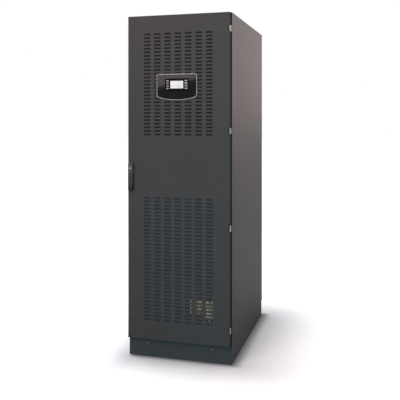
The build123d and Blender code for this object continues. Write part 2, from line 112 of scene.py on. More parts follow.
# The screen's border, and its plain areas: the middle as a share of the width, half the width and height
# as shares, and the colour
SCREEN_BORDER = 1.0 * MM
SCREEN_BORDER_Z = 3.5 * MM
SCREEN_AREAS = (
    (0.27, 0.20, 0.30, (0.97, 0.90, 0.93)),
    (0.72, 0.16, 0.40, (0.80, 0.87, 0.86)),
    (0.53, 0.006, 0.44, (0.45, 0.52, 0.52)),
    (0.87, 0.006, 0.44, (0.45, 0.52, 0.52)),
)


# Selecting and shaping pieces
def deselect_all():
    """Leave edit mode and clear the selection."""
    if bpy.context.object and bpy.context.object.mode != "OBJECT":
        bpy.ops.object.mode_set(mode="OBJECT")
    bpy.ops.object.select_all(action="DESELECT")


def activate(piece):
    """Make a piece the only selected one and the active one."""
    deselect_all()
    piece.select_set(True)
    bpy.context.view_layer.objects.active = piece


def apply_place(piece):
    """Put the piece's place, turn and scale into its mesh."""
    activate(piece)
    bpy.ops.object.transform_apply(location=True, rotation=True, scale=True)


def name_piece(name):
    """Name the new active piece and its mesh."""
    piece = bpy.context.object
    piece.name = name
    piece.data.name = name
    return piece


def bevel_edges(piece, width, segments=2):
    """Round the sharp edges with a bevel modifier, applied; no width leaves them sharp."""
    if not width:
        return
    activate(piece)
    bevel = piece.modifiers.new("edges", "BEVEL")
    bevel.width = width
    bevel.segments = segments
    bevel.limit_method = "ANGLE"
    bevel.angle_limit = SHARP_ANGLE
    bpy.ops.object.modifier_apply(modifier=bevel.name)


def shifted(origin, x, y, z):
    """The place some millimetres from an origin."""
    return tuple(start + MM * step for start, step in zip(origin, (x, y, z)))


def add_block(name, low, high, edge=0.0, segments=2):
    """A box between two corners, its edges rounded by a width."""
    deselect_all()
    low = Vector(low)
    high = Vector(high)
    bpy.ops.mesh.primitive_cube_add(size=1.0, location=(low + high) / 2)
    piece = name_piece(name)
    piece.scale = high - low
    apply_place(piece)
    bevel_edges(piece, edge, segments)
    return piece


def add_block_at(name, origin, corners, edge=0.0, segments=2):
    """A box between two corners that are given in millimetres from an origin."""
    low, high = corners
    return add_block(name, shifted(origin, *low), shifted(origin, *high), edge, segments)


def add_disc(name, centre, radius, depth, turn=TO_FRONT, sides=32, edge=0.0):
    """A cylinder, its edges rounded by a width; its axis is Z before its turn."""
    deselect_all()
    bpy.ops.mesh.primitive_cylinder_add(
        vertices=sides, radius=radius, depth=depth, location=centre, rotation=turn
    )
    piece = name_piece(name)
    apply_place(piece)
    bevel_edges(piece, edge)
    return piece


def add_ring(name, centre, radius, wire):
    """A wire ring that faces the front."""
    deselect_all()
    bpy.ops.mesh.primitive_torus_add(
        location=centre,
        rotation=TO_FRONT,
        major_radius=radius,
        minor_radius=wire,
        major_segments=36,
        minor_segments=6,
    )
    piece = name_piece(name)
    apply_place(piece)
    return piece


def add_frame(name, outer, inner, front, back, edge=0.0, segments=2):
    """A flat rectangular ring in X and Z; outer and inner are (left, bottom, right, top)."""
    deselect_all()
    left, bottom, right, top = outer
    inner_left, inner_bottom, inner_right, inner_top = inner
    width = right - left
    height = top - bottom
    centre = Vector(((left + right) / 2, back, (bottom + top) / 2))
    bpy.ops.mesh.primitive_plane_add(size=1.0, location=centre, rotation=TO_FRONT)
    piece = name_piece(name)
    piece.scale = (width, height, 1.0)
    apply_place(piece)
    rim = 0.1 * min(width, height)
    pick_faces(piece)
    bpy.ops.mesh.inset(thickness=rim, use_even_offset=True)
    shrink_x = (inner_right - inner_left) / (width - 2 * rim)
    shrink_z = (inner_top - inner_bottom) / (height - 2 * rim)
    bpy.ops.transform.resize(value=(shrink_x, 1.0, shrink_z), center_override=centre)
    shift_x = (inner_left + inner_right) / 2 - centre.x
    shift_z = (inner_bottom + inner_top) / 2 - centre.z
    bpy.ops.transform.translate(value=(shift_x, 0.0, shift_z))
    bpy.ops.mesh.delete(type="FACE")
    bpy.ops.mesh.select_all(action="SELECT")
    bpy.ops.mesh.extrude_region_move(TRANSFORM_OT_translate={"value": (0.0, front - back, 0.0)})
    bpy.ops.mesh.select_all(action="SELECT")
    bpy.ops.mesh.normals_make_consistent(inside=False)
    leave_edit()
    bevel_edges(piece, edge, segments)
    return piece


def node_face(name):
    """The rectangle (left, bottom, right, top) that a node fills in X and Z."""
    low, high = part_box(name)
    return (low.x, low.z, high.x, high.z)


def grow(rectangle, reach):
    """A rectangle made larger all round, or smaller by a negative reach."""
    left, bottom, right, top = rectangle
    return (left - reach, bottom - reach, right + reach, top + reach)


def pick_faces(piece, wanted=None):
    """Open the piece in edit mode and select the faces that wanted() accepts, or all of them."""
    activate(piece)
    bpy.ops.object.mode_set(mode="EDIT")
    bpy.ops.mesh.select_mode(type="FACE")
    bpy.ops.mesh.select_all(action="DESELECT")
    mesh = bmesh.from_edit_mesh(piece.data)
    for face in mesh.faces:
        face.select_set(wanted is None or wanted(face))
    bmesh.update_edit_mesh(piece.data)


def leave_edit():
    """Back to object mode."""
    bpy.ops.object.mode_set(mode="OBJECT")


def faces_front(face):
    """True for a face that looks towards the front."""
    return face.normal.y < -0.9


def inset_front(piece, width, depth):
    """Inset the faces that look towards the front by a width, and raise them by a depth."""
    pick_faces(piece, faces_front)
    bpy.ops.mesh.inset(thickness=width, depth=depth, use_even_offset=True)
    leave_edit()


def repeat_piece(piece, count, rise):
    """Repeat the piece upwards with an array modifier, applied."""
    activate(piece)
    array = piece.modifiers.new("repeat", "ARRAY")
    array.count = count
    array.use_relative_offset = False
    array.use_constant_offset = True
    array.constant_offset_displace = (0.0, 0.0, rise)
    bpy.ops.object.modifier_apply(modifier=array.name)


def cut_away(piece, cutter):
    """Subtract the cutter from the piece, then delete the cutter."""
    activate(piece)
    cut = piece.modifiers.new("cut", "BOOLEAN")
    cut.operation = "DIFFERENCE"
    cut.solver = "EXACT"
    cut.object = cutter
    bpy.ops.object.modifier_apply(modifier=cut.name)
    bpy.data.objects.remove(cutter)


def copy_piece(piece, name, shift):
    """A copy with its own mesh, shifted."""
    twin = piece.copy()
    twin.data = piece.data.copy()
    twin.name = name
    twin.data.name = name
    bpy.context.scene.collection.objects.link(twin)
    twin.data.transform(Matrix.Translation(shift))
    return twin


def with_copies(pieces, shifts):
    """The pieces, and copies of them all at each shift."""
    copies = [copy_piece(piece, piece.name, shift) for shift in shifts for piece in pieces]
    return [*pieces, *copies]


def join_pieces(name, pieces):
    """Join pieces into one mesh."""
    deselect_all()
    for piece in pieces:
        piece.select_set(True)
    bpy.context.view_layer.objects.active = pieces[0]
    if len(pieces) > 1:
        bpy.ops.object.join()
    return name_piece(name)


def finish_piece(piece, body, finish):
    """Give the piece its finish, smooth shading and body."""
    apply_place(piece)
    bpy.ops.object.shade_smooth_by_angle(angle=SMOOTH_ANGLE)
    piece.data.materials.clear()
    piece.data.materials.append(finish_named(finish))
    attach(piece, body)


def finish_joined(name, pieces, body, finish):
    """Join the pieces and finish them as one."""
    finish_piece(join_pieces(name, pieces), body, finish)


# Shader groups shared by the finishes
def feed(tree, socket, value):
    """Link an output into a socket, or set the socket's own number or colour."""
    if isinstance(value, bpy.types.NodeSocket):
        tree.links.new(value, socket)
    elif socket.type == "RGBA":
        socket.default_value = (*value, 1.0)
    else:
        socket.default_value = value


def add_node(tree, kind, **values):
    """A node with its properties and inputs set by name; an input takes a value or an output."""
    node = tree.nodes.new(kind)
    for label, value in values.items():
        if hasattr(node, label):
            setattr(node, label, value)
        else:
            feed(tree, node.inputs[label.replace("_", " ")], value)
    return node


def math_node(tree, operation, *operands):
    """A math node; each operand is an output or a number. Returns its output."""
    node = add_node(tree, "ShaderNodeMath", operation=operation)
    for socket, operand in zip(node.inputs, operands):
        feed(tree, socket, operand)
    return node.outputs[0]


def mix_colour(tree, factor, first, second):
    """A colour mix; the factor, and each colour, is an output or a value. Returns its output."""
    node = add_node(tree, "ShaderNodeMix", data_type="RGBA")
    feed(tree, node.inputs[0], factor)
    colour_in = [socket for socket in node.inputs if socket.type == "RGBA"]
    for socket, colour in zip(colour_in, (first, second)):
        feed(tree, socket, colour)
    return [socket for socket in node.outputs if socket.type == "RGBA"][0]


def map_range(tree, value, low, high, to_low=0.0, to_high=1.0):
    """A smooth, clamped map of a value from one range to another."""
    ranges = {"From_Min": low, "From_Max": high, "To_Min": to_low, "To_Max": to_high}
    node = add_node(tree, "ShaderNodeMapRange", interpolation_type="SMOOTHSTEP", Value=value, **ranges)
    return node.outputs["Result"]


def object_coordinates(tree):
    """The object coordinates' output in a tree."""
    return tree.nodes.new("ShaderNodeTexCoord").outputs["Object"]


def split_axes(tree, vector):
    """The X, Y and Z outputs of a vector."""
    return add_node(tree, "ShaderNodeSeparateXYZ", Vector=vector).outputs


def place_along(tree, axis):
    """One axis of the object coordinates."""
    return split_axes(tree, object_coordinates(tree))[axis]


def add_noise(tree, place, scale, detail, roughness=0.5):
    """Noise at a place; returns its output."""
    values = {"Vector": place, "Scale": scale, "Detail": detail, "Roughness": roughness}
    return add_node(tree, "ShaderNodeTexNoise", **values).outputs["Fac"]


def new_group(name, inputs, outputs):
    """An empty shader group of plain numbers, with its inner start and end sockets."""
    group = bpy.data.node_groups.new(name, "ShaderNodeTree")
    for label, default in inputs.items():
        socket = group.interface.new_socket(label, in_out="INPUT", socket_type="NodeSocketFloat")
        socket.default_value = default
    for label in outputs:
        group.interface.new_socket(label, in_out="OUTPUT", socket_type="NodeSocketFloat")
    start = group.nodes.new("NodeGroupInput")
    end = group.nodes.new("NodeGroupOutput")
    return group, start.outputs, end.inputs


def build_grain_group():
    """Powder coat and moulded grain: a fine height and a slow cloud of tone."""
    group, start, end = new_group("grain", {"Grain": 900.0, "Cloud": 3.0}, ("Height", "Cloud"))
    place = object_coordinates(group)
    group.links.new(add_noise(group, place, start["Grain"], 3.0, 0.6), end["Height"])
    group.links.new(add_noise(group, place, start["Cloud"], 2.0), end["Cloud"])
    return group


def build_edge_group():
    """A mask of the sharp edges, broken up, where a finish is worn or thin."""
    group, start, end = new_group("edge_wear", {"Radius": 1.5 * MM, "Breakup": 60.0}, ("Mask",))
    bevel = add_node(group, "ShaderNodeBevel", samples=4, Radius=start["Radius"])
    geometry = group.nodes.new("ShaderNodeNewGeometry")
    dot = add_node(group, "ShaderNodeVectorMath", operation="DOT_PRODUCT")
    group.links.new(bevel.outputs["Normal"], dot.inputs[0])
    group.links.new(geometry.outputs["Normal"], dot.inputs[1])
    turned = map_range(group, dot.outputs["Value"], 0.995, 0.8)
    noise = add_noise(group, object_coordinates(group), start["Breakup"], 4.0)
    broken = map_range(group, noise, 0.42, 0.6)
    group.links.new(math_node(group, "MULTIPLY", turned, broken), end["Mask"])
    return group


def build_dust_group():
    """A mask of thin dust: more on faces that look up, and near the floor."""
    group, start, end = new_group("dust", {"Scale": 30.0, "Floor Height": 0.35}, ("Mask",))
    place = object_coordinates(group)
    normal = group.nodes.new("ShaderNodeNewGeometry").outputs["Normal"]
    upward = map_range(group, split_axes(group, normal)["Z"], 0.3, 1.0)
    height = math_node(group, "DIVIDE", split_axes(group, place)["Z"], start["Floor Height"])
    low = map_range(group, height, 1.0, 0.0, 0.0, 0.45)
    cover = math_node(group, "MAXIMUM", upward, low)
    patchy = map_range(group, add_noise(group, place, start["Scale"], 5.0), 0.2, 0.95)
    group.links.new(math_node(group, "MULTIPLY", cover, patchy), end["Mask"])
    return group


def build_brushed_group():
    """Brushed metal: fine lines along Z, as a height and a tone."""
    group, start, end = new_group("brushed", {"Lines": 1500.0, "Stretch": 0.02}, ("Height", "Tone"))
    axes = split_axes(group, object_coordinates(group))
    along = math_node(group, "MULTIPLY", axes["Z"], start["Stretch"])
    joined = add_node(group, "ShaderNodeCombineXYZ", X=axes["X"], Y=axes["Y"], Z=along)
    noise = add_noise(group, joined.outputs[0], start["Lines"], 2.0)
    group.links.new(noise, end["Height"])
    group.links.new(map_range(group, noise, 0.3, 0.7), end["Tone"])
    return group


GROUP_BUILDERS = {
    "grain": build_grain_group,
    "edge_wear": build_edge_group,
    "dust": build_dust_group,
    "brushed": build_brushed_group,
}
GROUPS = {}


def use_group(tree, name, **values):
    """Place a shared group in a tree with its own input values; returns its outputs."""
    if name not in GROUPS:
        GROUPS[name] = GROUP_BUILDERS[name]()
    return add_node(tree, "ShaderNodeGroup", node_tree=GROUPS[name], **values).outputs


# Finishes
def main_settings():
    """The finish settings that the panel shows."""
    return bpy.context.scene.ups_finish


def start_material(name, roughness, metallic=0.0, specular=0.5):
    """A new node material with its plain values set on the shader itself."""
    material = bpy.data.materials.new(name)
    material.use_nodes = True
    shader = material.node_tree.nodes["Principled BSDF"]
    shader.inputs["Roughness"].default_value = roughness
    shader.inputs["Metallic"].default_value = metallic
    shader.inputs["Specular IOR Level"].default_value = specular
    return material, material.node_tree, shader


def add_bump(tree, shader, height, strength, distance):
    """Bump from a height output into the shader's normal."""
    bump = add_node(tree, "ShaderNodeBump", Strength=strength, Distance=distance, Height=height)
    tree.links.new(bump.outputs["Normal"], shader.inputs["Normal"])


def scaled(colour, share, lift=0.0):
    """A colour made darker or lighter by a share, and lifted."""
    return [share * channel + lift for channel in colour]


def paint(tree, shader, colour):
    """Link a colour to the shader's base."""
    tree.links.new(colour, shader.inputs["Base Color"])


def vary_roughness(tree, shader, value, low, high, smooth, rough):
    """Let the roughness follow a value, from smooth at its low end to rough at its high one."""
    tree.links.new(map_range(tree, value, low, high, smooth, rough), shader.inputs["Roughness"])


def powder_coat(name, colour, worn=None, roughness=0.6, specular=0.2, dusty=0.25, grain=900.0):
    """Fine textured powder coat: slow clouds of tone, dust, thin worn edges and a fine grain."""
    if worn is None:
        worn = main_settings().worn_colour
    material, tree, shader = start_material(name, roughness, specular=specular)
    grain_node = use_group(tree, "grain", Grain=grain, Cloud=2.2)
    height = grain_node["Height"]
    cloud = map_range(tree, grain_node["Cloud"], 0.3, 0.7)
    tone = mix_colour(tree, cloud, scaled(colour, 0.95), scaled(colour, 1.05))
    dust = use_group(tree, "dust")
    cover = math_node(tree, "MULTIPLY", dust["Mask"], dusty)
    dusted = mix_colour(tree, cover, tone, DUST_GREY)
    wear = use_group(tree, "edge_wear")
    edge = math_node(tree, "MULTIPLY", wear["Mask"], 0.15)
    paint(tree, shader, mix_colour(tree, edge, dusted, worn))
    vary_roughness(tree, shader, height, 0.3, 0.7, roughness - 0.06, roughness + 0.08)
    add_bump(tree, shader, height, 0.35, 0.3 * MM)
    return material


def moulded_plastic(name, colour, roughness=0.45, specular=0.5, grain=1400.0):
    """Moulded plastic with a fine grain and slightly polished edges."""
    material, tree, shader = start_material(name, roughness, specular=specular)
    grain_node = use_group(tree, "grain", Grain=grain, Cloud=9.0)
    cloud = map_range(tree, grain_node["Cloud"], 0.35, 0.7)
    tone = mix_colour(tree, cloud, colour, scaled(colour, 1.25, 0.004))
    wear = use_group(tree, "edge_wear", Radius=FINE_WEAR)
    edge = math_node(tree, "MULTIPLY", wear["Mask"], 0.4)
    paint(tree, shader, mix_colour(tree, edge, tone, scaled(colour, 3.0, 0.01)))
    add_bump(tree, shader, grain_node["Height"], 0.25, 0.2 * MM)
    return material


def bare_metal(name, colour, roughness=0.32, lines=1500.0):
    """Brushed or plated bare metal: fine lines, slow tarnish and brighter edges."""
    material, tree, shader = start_material(name, roughness, metallic=1.0)
    brushed = use_group(tree, "brushed", Lines=lines)
    grain_node = use_group(tree, "grain", Grain=260.0, Cloud=24.0)
    tone = mix_colour(tree, brushed["Tone"], scaled(colour, 0.72), colour)
    tarnish = map_range(tree, grain_node["Cloud"], 0.45, 0.75, 0.0, 0.5)
    dull = mix_colour(tree, tarnish, tone, scaled(colour, 0.5))
    wear = use_group(tree, "edge_wear", Radius=FINE_WEAR)
    paint(tree, shader, mix_colour(tree, wear["Mask"], dull, colour))
    vary_roughness(tree, shader, grain_node["Height"], 0.3, 0.7, roughness - 0.07, roughness + 0.12)
    add_bump(tree, shader, brushed["Height"], 0.2, 0.2 * MM)
    return material


def filter_foam(name, colour):
    """Open-cell filter foam: fine cells, with painted shade in their hollows."""
    material, tree, shader = start_material(name, 0.95, specular=0.1)
    cells = add_node(tree, "ShaderNodeTexVoronoi", Scale=420.0, Vector=object_coordinates(tree))
    hollow = map_range(tree, cells.outputs["Distance"], 0.15, 0.6)
    grain_node = use_group(tree, "grain", Grain=300.0, Cloud=4.0)
    # Painted shade: the foam is darker in its cells' hollows
    cell_shade = mix_colour(tree, hollow, scaled(colour, 0.6), colour)
    dust = map_range(tree, grain_node["Cloud"], 0.4, 0.8, 0.0, 0.3)
    paint(tree, shader, mix_colour(tree, dust, cell_shade, scaled(colour, 1.5)))
    add_bump(tree, shader, hollow, 0.5, 0.8 * MM)
    return material


def galvanised_sheet(name, colour):
    """Galvanised sheet with its spangle."""
    material, tree, shader = start_material(name, 0.42, metallic=0.9)
    spangle = add_node(tree, "ShaderNodeTexVoronoi", Scale=120.0, Vector=object_coordinates(tree))
    grain_node = use_group(tree, "grain", Grain=500.0, Cloud=5.0)
    flake = add_node(tree, "ShaderNodeSeparateColor", Color=spangle.outputs["Color"]).outputs[0]
    tone = mix_colour(tree, flake, scaled(colour, 0.8), colour)
    cloud = map_range(tree, grain_node["Cloud"], 0.4, 0.7, 0.0, 0.35)
    paint(tree, shader, mix_colour(tree, cloud, tone, scaled(colour, 0.6)))
    vary_roughness(tree, shader, flake, 0.0, 1.0, 0.34, 0.52)
    add_bump(tree, shader, grain_node["Height"], 0.15, 0.2 * MM)
    return material


def box_mask(tree, centre, half):
    """1 inside a rectangle in X and Z, given by its centre and half its size."""
    axes = split_axes(tree, object_coordinates(tree))
    inside = []
    for axis, middle, reach in zip("XZ", centre, half):
        offset = math_node(tree, "ABSOLUTE", math_node(tree, "SUBTRACT", axes[axis], middle))
        inside.append(math_node(tree, "LESS_THAN", offset, reach))
    return math_node(tree, "MULTIPLY", *inside)


def repaint(material, mask, colour):
    """Lay a colour over the material's coat where a mask is 1."""
    tree = material.node_tree
    shader = tree.nodes["Principled BSDF"]
    coat = shader.inputs["Base Color"].links[0].from_socket
    paint(tree, shader, mix_colour(tree, mask, coat, colour))


def paint_past(material, axis, limit, above, colour):
    """Paint over the coat past a limit along an axis."""
    tree = material.node_tree
    side = "GREATER_THAN" if above else "LESS_THAN"
    repaint(material, math_node(tree, side, place_along(tree, axis), limit), colour)


def dull_past(material, axis, limit):
    """Make the coat fully rough past a limit, so that it mirrors nothing at a flat angle."""
    tree = material.node_tree
    roughness = tree.nodes["Principled BSDF"].inputs["Roughness"]
    past = math_node(tree, "GREATER_THAN", place_along(tree, axis), limit)
    tree.links.new(math_node(tree, "MAXIMUM", roughness.links[0].from_socket, past), roughness)


def fade_to_black(material, axis, start, end):
    """Let the coat run into black along an axis, between a start and an end."""
    tree = material.node_tree
    repaint(material, map_range(tree, place_along(tree, axis), start, end), LEVER_FOOT_BLACK)


def build_display_gloss():
    """Glossy black display face with faint smears."""
    material, tree, shader = start_material("display_gloss", 0.08, specular=0.14)
    cloud = use_group(tree, "grain", Grain=60.0, Cloud=8.0)["Cloud"]
    paint(tree, shader, mix_colour(tree, cloud, (0.002, 0.002, 0.0025), (0.004, 0.003, 0.004)))
    vary_roughness(tree, shader, cloud, 0.5, 0.75, 0.05, 0.14)
    return material


def build_window_black():
    """Matt black window with a plain grey field round each key, paler at the right."""
    material, tree, shader = start_material("window_black", 0.6, specular=0.02)
    cloud = use_group(tree, "grain", Grain=80.0, Cloud=14.0)["Cloud"]
    colour = mix_colour(tree, cloud, *WINDOW_BLACKS)
    low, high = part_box("display_keys")
    half_x, half_z = KEY_HALF
    from_row = math_node(tree, "SUBTRACT", place_along(tree, "Z"), low.z + half_z)
    off_row = math_node(tree, "PINGPONG", from_row, KEY_PITCH / 2)
    row = math_node(tree, "LESS_THAN", off_row, half_z + FIELD_MARGIN_Z)
    reach = (half_x + FIELD_MARGIN_X, (high.z - low.z) / 2 + FIELD_END)
    for middle_x, field in ((low.x + half_x, LEFT_FIELD), (high.x - half_x, RIGHT_FIELD)):
        centre = (middle_x, (low.z + high.z) / 2)
        column = box_mask(tree, centre, reach)
        colour = mix_colour(tree, math_node(tree, "MULTIPLY", column, row), colour, field)
    paint(tree, shader, colour)
    vary_roughness(tree, shader, cloud, 0.4, 0.7, 0.5, 0.7)
    return material


def build_lamp_green():
    """Indicator lamp: green lens with a soft glow."""
    material, tree, shader = start_material("lamp_green", 0.2)
    facing = add_node(tree, "ShaderNodeLayerWeight", Blend=0.35)
    colour = mix_colour(tree, facing.outputs["Facing"], (0.25, 0.9, 0.35), (0.02, 0.25, 0.06))
    paint(tree, shader, colour)
    tree.links.new(colour, shader.inputs["Emission Color"])
    shader.inputs["Emission Strength"].default_value = 0.6
    return material


def build_screen_glow():
    """The lit screen: a pale backlight with a faint warm left half and plain grey bars."""
    settings = main_settings()
    material, tree, shader = start_material("screen_glow", 0.12)
    low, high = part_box("display_screen")
    width = high.x - low.x
    height = high.z - low.z
    middle_z = (low.z + high.z) / 2
    colour = tuple(settings.screen_colour)
    for along_share, half_width_share, half_height_share, tint in SCREEN_AREAS:
        centre = (low.x + along_share * width, middle_z)
        half = (half_width_share * width, half_height_share * height)
        colour = mix_colour(tree, box_mask(tree, centre, half), colour, tint)
    lit_centre = ((low.x + high.x) / 2, middle_z - SCREEN_BORDER)
    lit_half = (width / 2 - SCREEN_BORDER, height / 2 - SCREEN_BORDER_Z)
    lit = box_mask(tree, lit_centre, lit_half)
    colour = mix_colour(tree, lit, (0.003, 0.003, 0.004), colour)
    tree.links.new(colour, shader.inputs["Emission Color"])
    paint(tree, shader, mix_colour(tree, 0.85, colour, (0.05, 0.05, 0.05)))
    shader.inputs["Emission Strength"].default_value = settings.screen_strength
    return material


# The plain finishes: the maker, the colour or its setting, and what differs from the maker's own values
PLAIN_FINISHES = {
    "cabinet_powder_coat": (powder_coat, "cabinet_colour", {"specular": 0.15, "dusty": 0.08}),
    "door_powder_coat": (powder_coat, "door_colour", {"dusty": 0.06}),
    "plinth_powder_coat": (powder_coat, "plinth_colour", {"specular": 0.1, "dusty": 0.06}),
    "frame_black_coat": (powder_coat, (0.02, 0.02, 0.021), {"dusty": 0.15}),
    "module_coat": (powder_coat, (0.028, 0.028, 0.030), {"dusty": 0.1, "grain": 1500.0}),
    "bracket_coat": (powder_coat, (0.20, 0.215, 0.225), {"worn": (0.35, 0.35, 0.35), "dusty": 0.1}),
    "lever_grey": (powder_coat, LEVER_GREY, LEVER_COAT),
    "base_grey": (powder_coat, LEVER_GREY, LEVER_COAT),
    "head_grey": (powder_coat, HEAD_GREY, HEAD_COAT),
    "handle_grey": (powder_coat, HEAD_GREY, HEAD_COAT),
    "galvanised_sheet": (galvanised_sheet, (0.36, 0.365, 0.37), {}),
    "hinge_metal": (bare_metal, (0.26, 0.26, 0.265), {}),
    "lock_metal": (bare_metal, (0.50, 0.50, 0.51), {"roughness": 0.4}),
    "bezel_metal": (bare_metal, (0.24, 0.245, 0.25), {"roughness": 0.38}),
    "screw_metal": (bare_metal, (0.15, 0.16, 0.17), {"roughness": 0.45}),
    "guard_metal": (bare_metal, (0.16, 0.16, 0.17), {"roughness": 0.4}),
    "terminal_brass": (bare_metal, (0.78, 0.62, 0.40), {"roughness": 0.35}),
    "key_print": (moulded_plastic, (0.27, 0.285, 0.31), {"roughness": 0.5}),
    "black_plastic": (moulded_plastic, (0.016, 0.016, 0.017), {}),
    "handle_black": (moulded_plastic, (0.017, 0.017, 0.018), {"roughness": 0.5, "specular": 0.2}),
    "gasket_rubber": (moulded_plastic, (0.008, 0.008, 0.008), {"roughness": 0.8, "grain": 700.0}),
    "fan_plastic": (moulded_plastic, (0.03, 0.03, 0.032), {"roughness": 0.4}),
    "cream_plastic": (moulded_plastic, (0.36, 0.36, 0.30), {"roughness": 0.5}),
    "link_plastic": (moulded_plastic, (0.76, 0.77, 0.76), {"roughness": 0.5}),
    "filter_foam": (filter_foam, (0.0245, 0.0225, 0.0195), {}),
    "filter_foam_low": (filter_foam, (0.042, 0.046, 0.051), {}),
}
SPECIAL_FINISHES = {
    "display_gloss": build_display_gloss,
    "window_black": build_window_black,
    "screen_glow": build_screen_glow,
    "lamp_green": build_lamp_green,
}

# What is painted over a plain finish: the axis, the limit, whether it is above the limit, and the colour.
# Black is painted shade: on the cabinet's front faces behind the door's edge, on the door's right side and on
# the hinges behind their barrels in the gap there, down the handle base's right edge, and as a painted shadow
# under the lock; pale grey is a painted highlight on the right sides of the handle's lever and head
PAINTED_OVER = {
    "cabinet_powder_coat": ("Y", BODY_FRONT + FRONT_SHADE_DEPTH, False, SHADE_BLACK),
    "door_powder_coat": ("X", DOOR_RIGHT - SIDE_SKIN, True, SHADE_BLACK),
    "hinge_metal": ("Y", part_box("hinge_leaves")[0].y + BARREL_REACH, True, SHADE_BLACK),
    "base_grey": ("X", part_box("handle_base")[1].x - BASE_SHADE_WIDTH, True, SHADE_BLACK),
    "lever_grey": ("X", LEVER_HIGH.x - SIDE_SKIN, True, (0.15, 0.147, 0.15)),
    "head_grey": ("X", HEAD_HIGH.x - SIDE_SKIN, True, (0.21, 0.207, 0.21)),
    "lock_metal": ("Z", HEAD_HIGH.z - LOCK_DROP - LOCK_SHADE, False, SHADE_BLACK),
}


def build_finish(name):
    """Make the finish of that name, with what is painted over it."""
    if name in SPECIAL_FINISHES:
        return SPECIAL_FINISHES[name]()
    maker, colour, values = PLAIN_FINISHES[name]
    if isinstance(colour, str):
        colour = getattr(main_settings(), colour)
    material = maker(name, colour, **values)
    # Painted shade and painted highlights, from PAINTED_OVER
    if name in PAINTED_OVER:
        paint_past(material, *PAINTED_OVER[name])
    if name == "door_powder_coat":
        dull_past(material, "X", DOOR_RIGHT - SIDE_SKIN)
    # The lever's coat darkens to black towards its foot
    if name == "lever_grey":
        fade_to_black(material, "Z", LEVER_LOW.z + DARKENING_START, LEVER_LOW.z + DARKENING_END)
    return material


MATERIALS = {}


def finish_named(name):
    """The finish of that name, built when it is first asked for."""
    if name not in MATERIALS:
        MATERIALS[name] = build_finish(name)
    return MATERIALS[name]


# The nodes of each finish; the modules and the bypass unit, which aren't named here, get module_coat
FINISHED_NODES = {
    "plinth_powder_coat": ("plinth_front", "plinth_rear", "plinth_sides"),
    "frame_black_coat": (
        "base_rails", "top_rails", "post_front_left", "post_front_right",
        "post_rear_left", "post_rear_right", "compartment_back",
    ),
    "cabinet_powder_coat": ("roof_panel", "side_panel_left", "side_panel_right", "rear_panel"),
    "galvanised_sheet": ("floor_plate", "module_rail_left", "module_rail_right"),
    "bracket_coat": ("terminal_bracket",),
    "cream_plastic": ("terminal_block",),
    "terminal_brass": ("terminal_bars",),
    "screw_metal": ("fixing_screws",),
    "hinge_metal": ("hinge_brackets", "hinge_leaves"),
    "door_powder_coat": ("door_skin", "door_stiffener_left", "door_stiffener_right"),
    "bezel_metal": ("display_bezel",),
    "display_gloss": ("display_face",),
    "screen_glow": ("display_screen",),
    "key_print": ("display_keys",),
    "black_plastic": ("display_housing", "lock_case"),
    "base_grey": ("handle_base",),
    "head_grey": ("handle_head",),
    "lever_grey": ("handle_lever",),
}


# Settings in the panel
def colour_setting(name, description, default):
    """A colour that the panel shows."""
    return FloatVectorProperty(name=name, description=description, subtype="COLOR", default=default)


def length_setting(name, description, default):
    """A length that the panel shows."""
    return FloatProperty(name=name, description=description, unit="LENGTH", default=default)


def power_setting(name, description, default):
    """A lamp's power that the panel shows."""
    return FloatProperty(name=name, description=description, unit="POWER", default=default)


class FinishSettings(bpy.types.PropertyGroup):
    """Colours of the cabinet's finishes."""

    cabinet_colour: colour_setting(
        "Cabinet colour", "Powder coat of the side, rear and roof panels", (0.040, 0.039, 0.038)
    )
    door_colour: colour_setting("Door colour", "Powder coat of the door", (0.047, 0.0445, 0.0450))
    plinth_colour: colour_setting("Plinth colour", "Powder coat of the plinth", (0.057, 0.059, 0.063))
    worn_colour: colour_setting(
        "Worn edge colour", "Colour of the coat where it is thin along edges", (0.10, 0.10, 0.10)
    )
    screen_colour: colour_setting("Screen colour", "Backlight of the display's screen", (0.90, 0.96, 1.0))
    screen_strength: FloatProperty(
        name="Screen strength",
        description="How bright the display's screen is",
        default=0.60,
        min=0.0,
    )


class PieceSettings(bpy.types.PropertyGroup):
    """Sizes of the fittings."""

    gasket_width: length_setting("Gasket width", "Width of the foam gasket behind the door's edge", 0.010)
    gasket_gap: length_setting(
        "Gasket gap", "Gap between the gasket and the frame that it faces, with the door shut", 0.0005
    )
    window_border: length_setting(
        "Window border", "How far the display's black window reaches past the keys", 0.0105
    )


class StageSettings(bpy.types.PropertyGroup):
    """The studio: camera, lamps and floor."""

    soft_light: FloatProperty(
        name="Soft light",
        description="Level of the even light from all round",
        default=0.29,
        min=0.0,
        max=1.0,
    )
    lens: FloatProperty(
        name="Lens",
        description="Focal length of the camera on a 36 mm sensor, in millimetres",
        default=55.40,
    )
    key_power: power_setting("Key lamp power", "Lamp at the front left, which the display mirrors", 55.0)
    front_power: power_setting("Front lamp power", "High lamp near the front, for the door's top", 22.5)
    side_power: power_setting("Side lamp power", "Lamp above the right side", 51.0)
    fill_power: power_setting("Fill lamp power", "Low, cool lamp at the front", 45.0)
    compartment_power: power_setting("Compartment lamp power", "Small lamp near the terminals", 0.043)
    rim_power: power_setting("Rim lamp power", "Lamp behind, for the right side's sheen", 55.5)
    top_power: power_setting("Top lamp power", "High lamp behind, which casts the soft shadow", 41.0)
    left_power: power_setting("Left lamp power", "Lamp at the left, which lights only that side", 45.0)


# Pieces
class UPS_OT_finish_frame(bpy.types.Operator):
    """Give every part of the construction its finish"""

    bl_idname = "ups_cabinet.finish_frame"
    bl_label = "Finish the construction"

    def execute(self, context):
        finishes = {name: finish for finish, names in FINISHED_NODES.items() for name in names}
        for name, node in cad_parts.items():
            node.data.materials.clear()
            node.data.materials.append(finish_named(finishes.get(name, "module_coat")))
        return {"FINISHED"}


GASKET_LAP = 1.0 * MM
GASKET_EDGE = 2.5 * MM


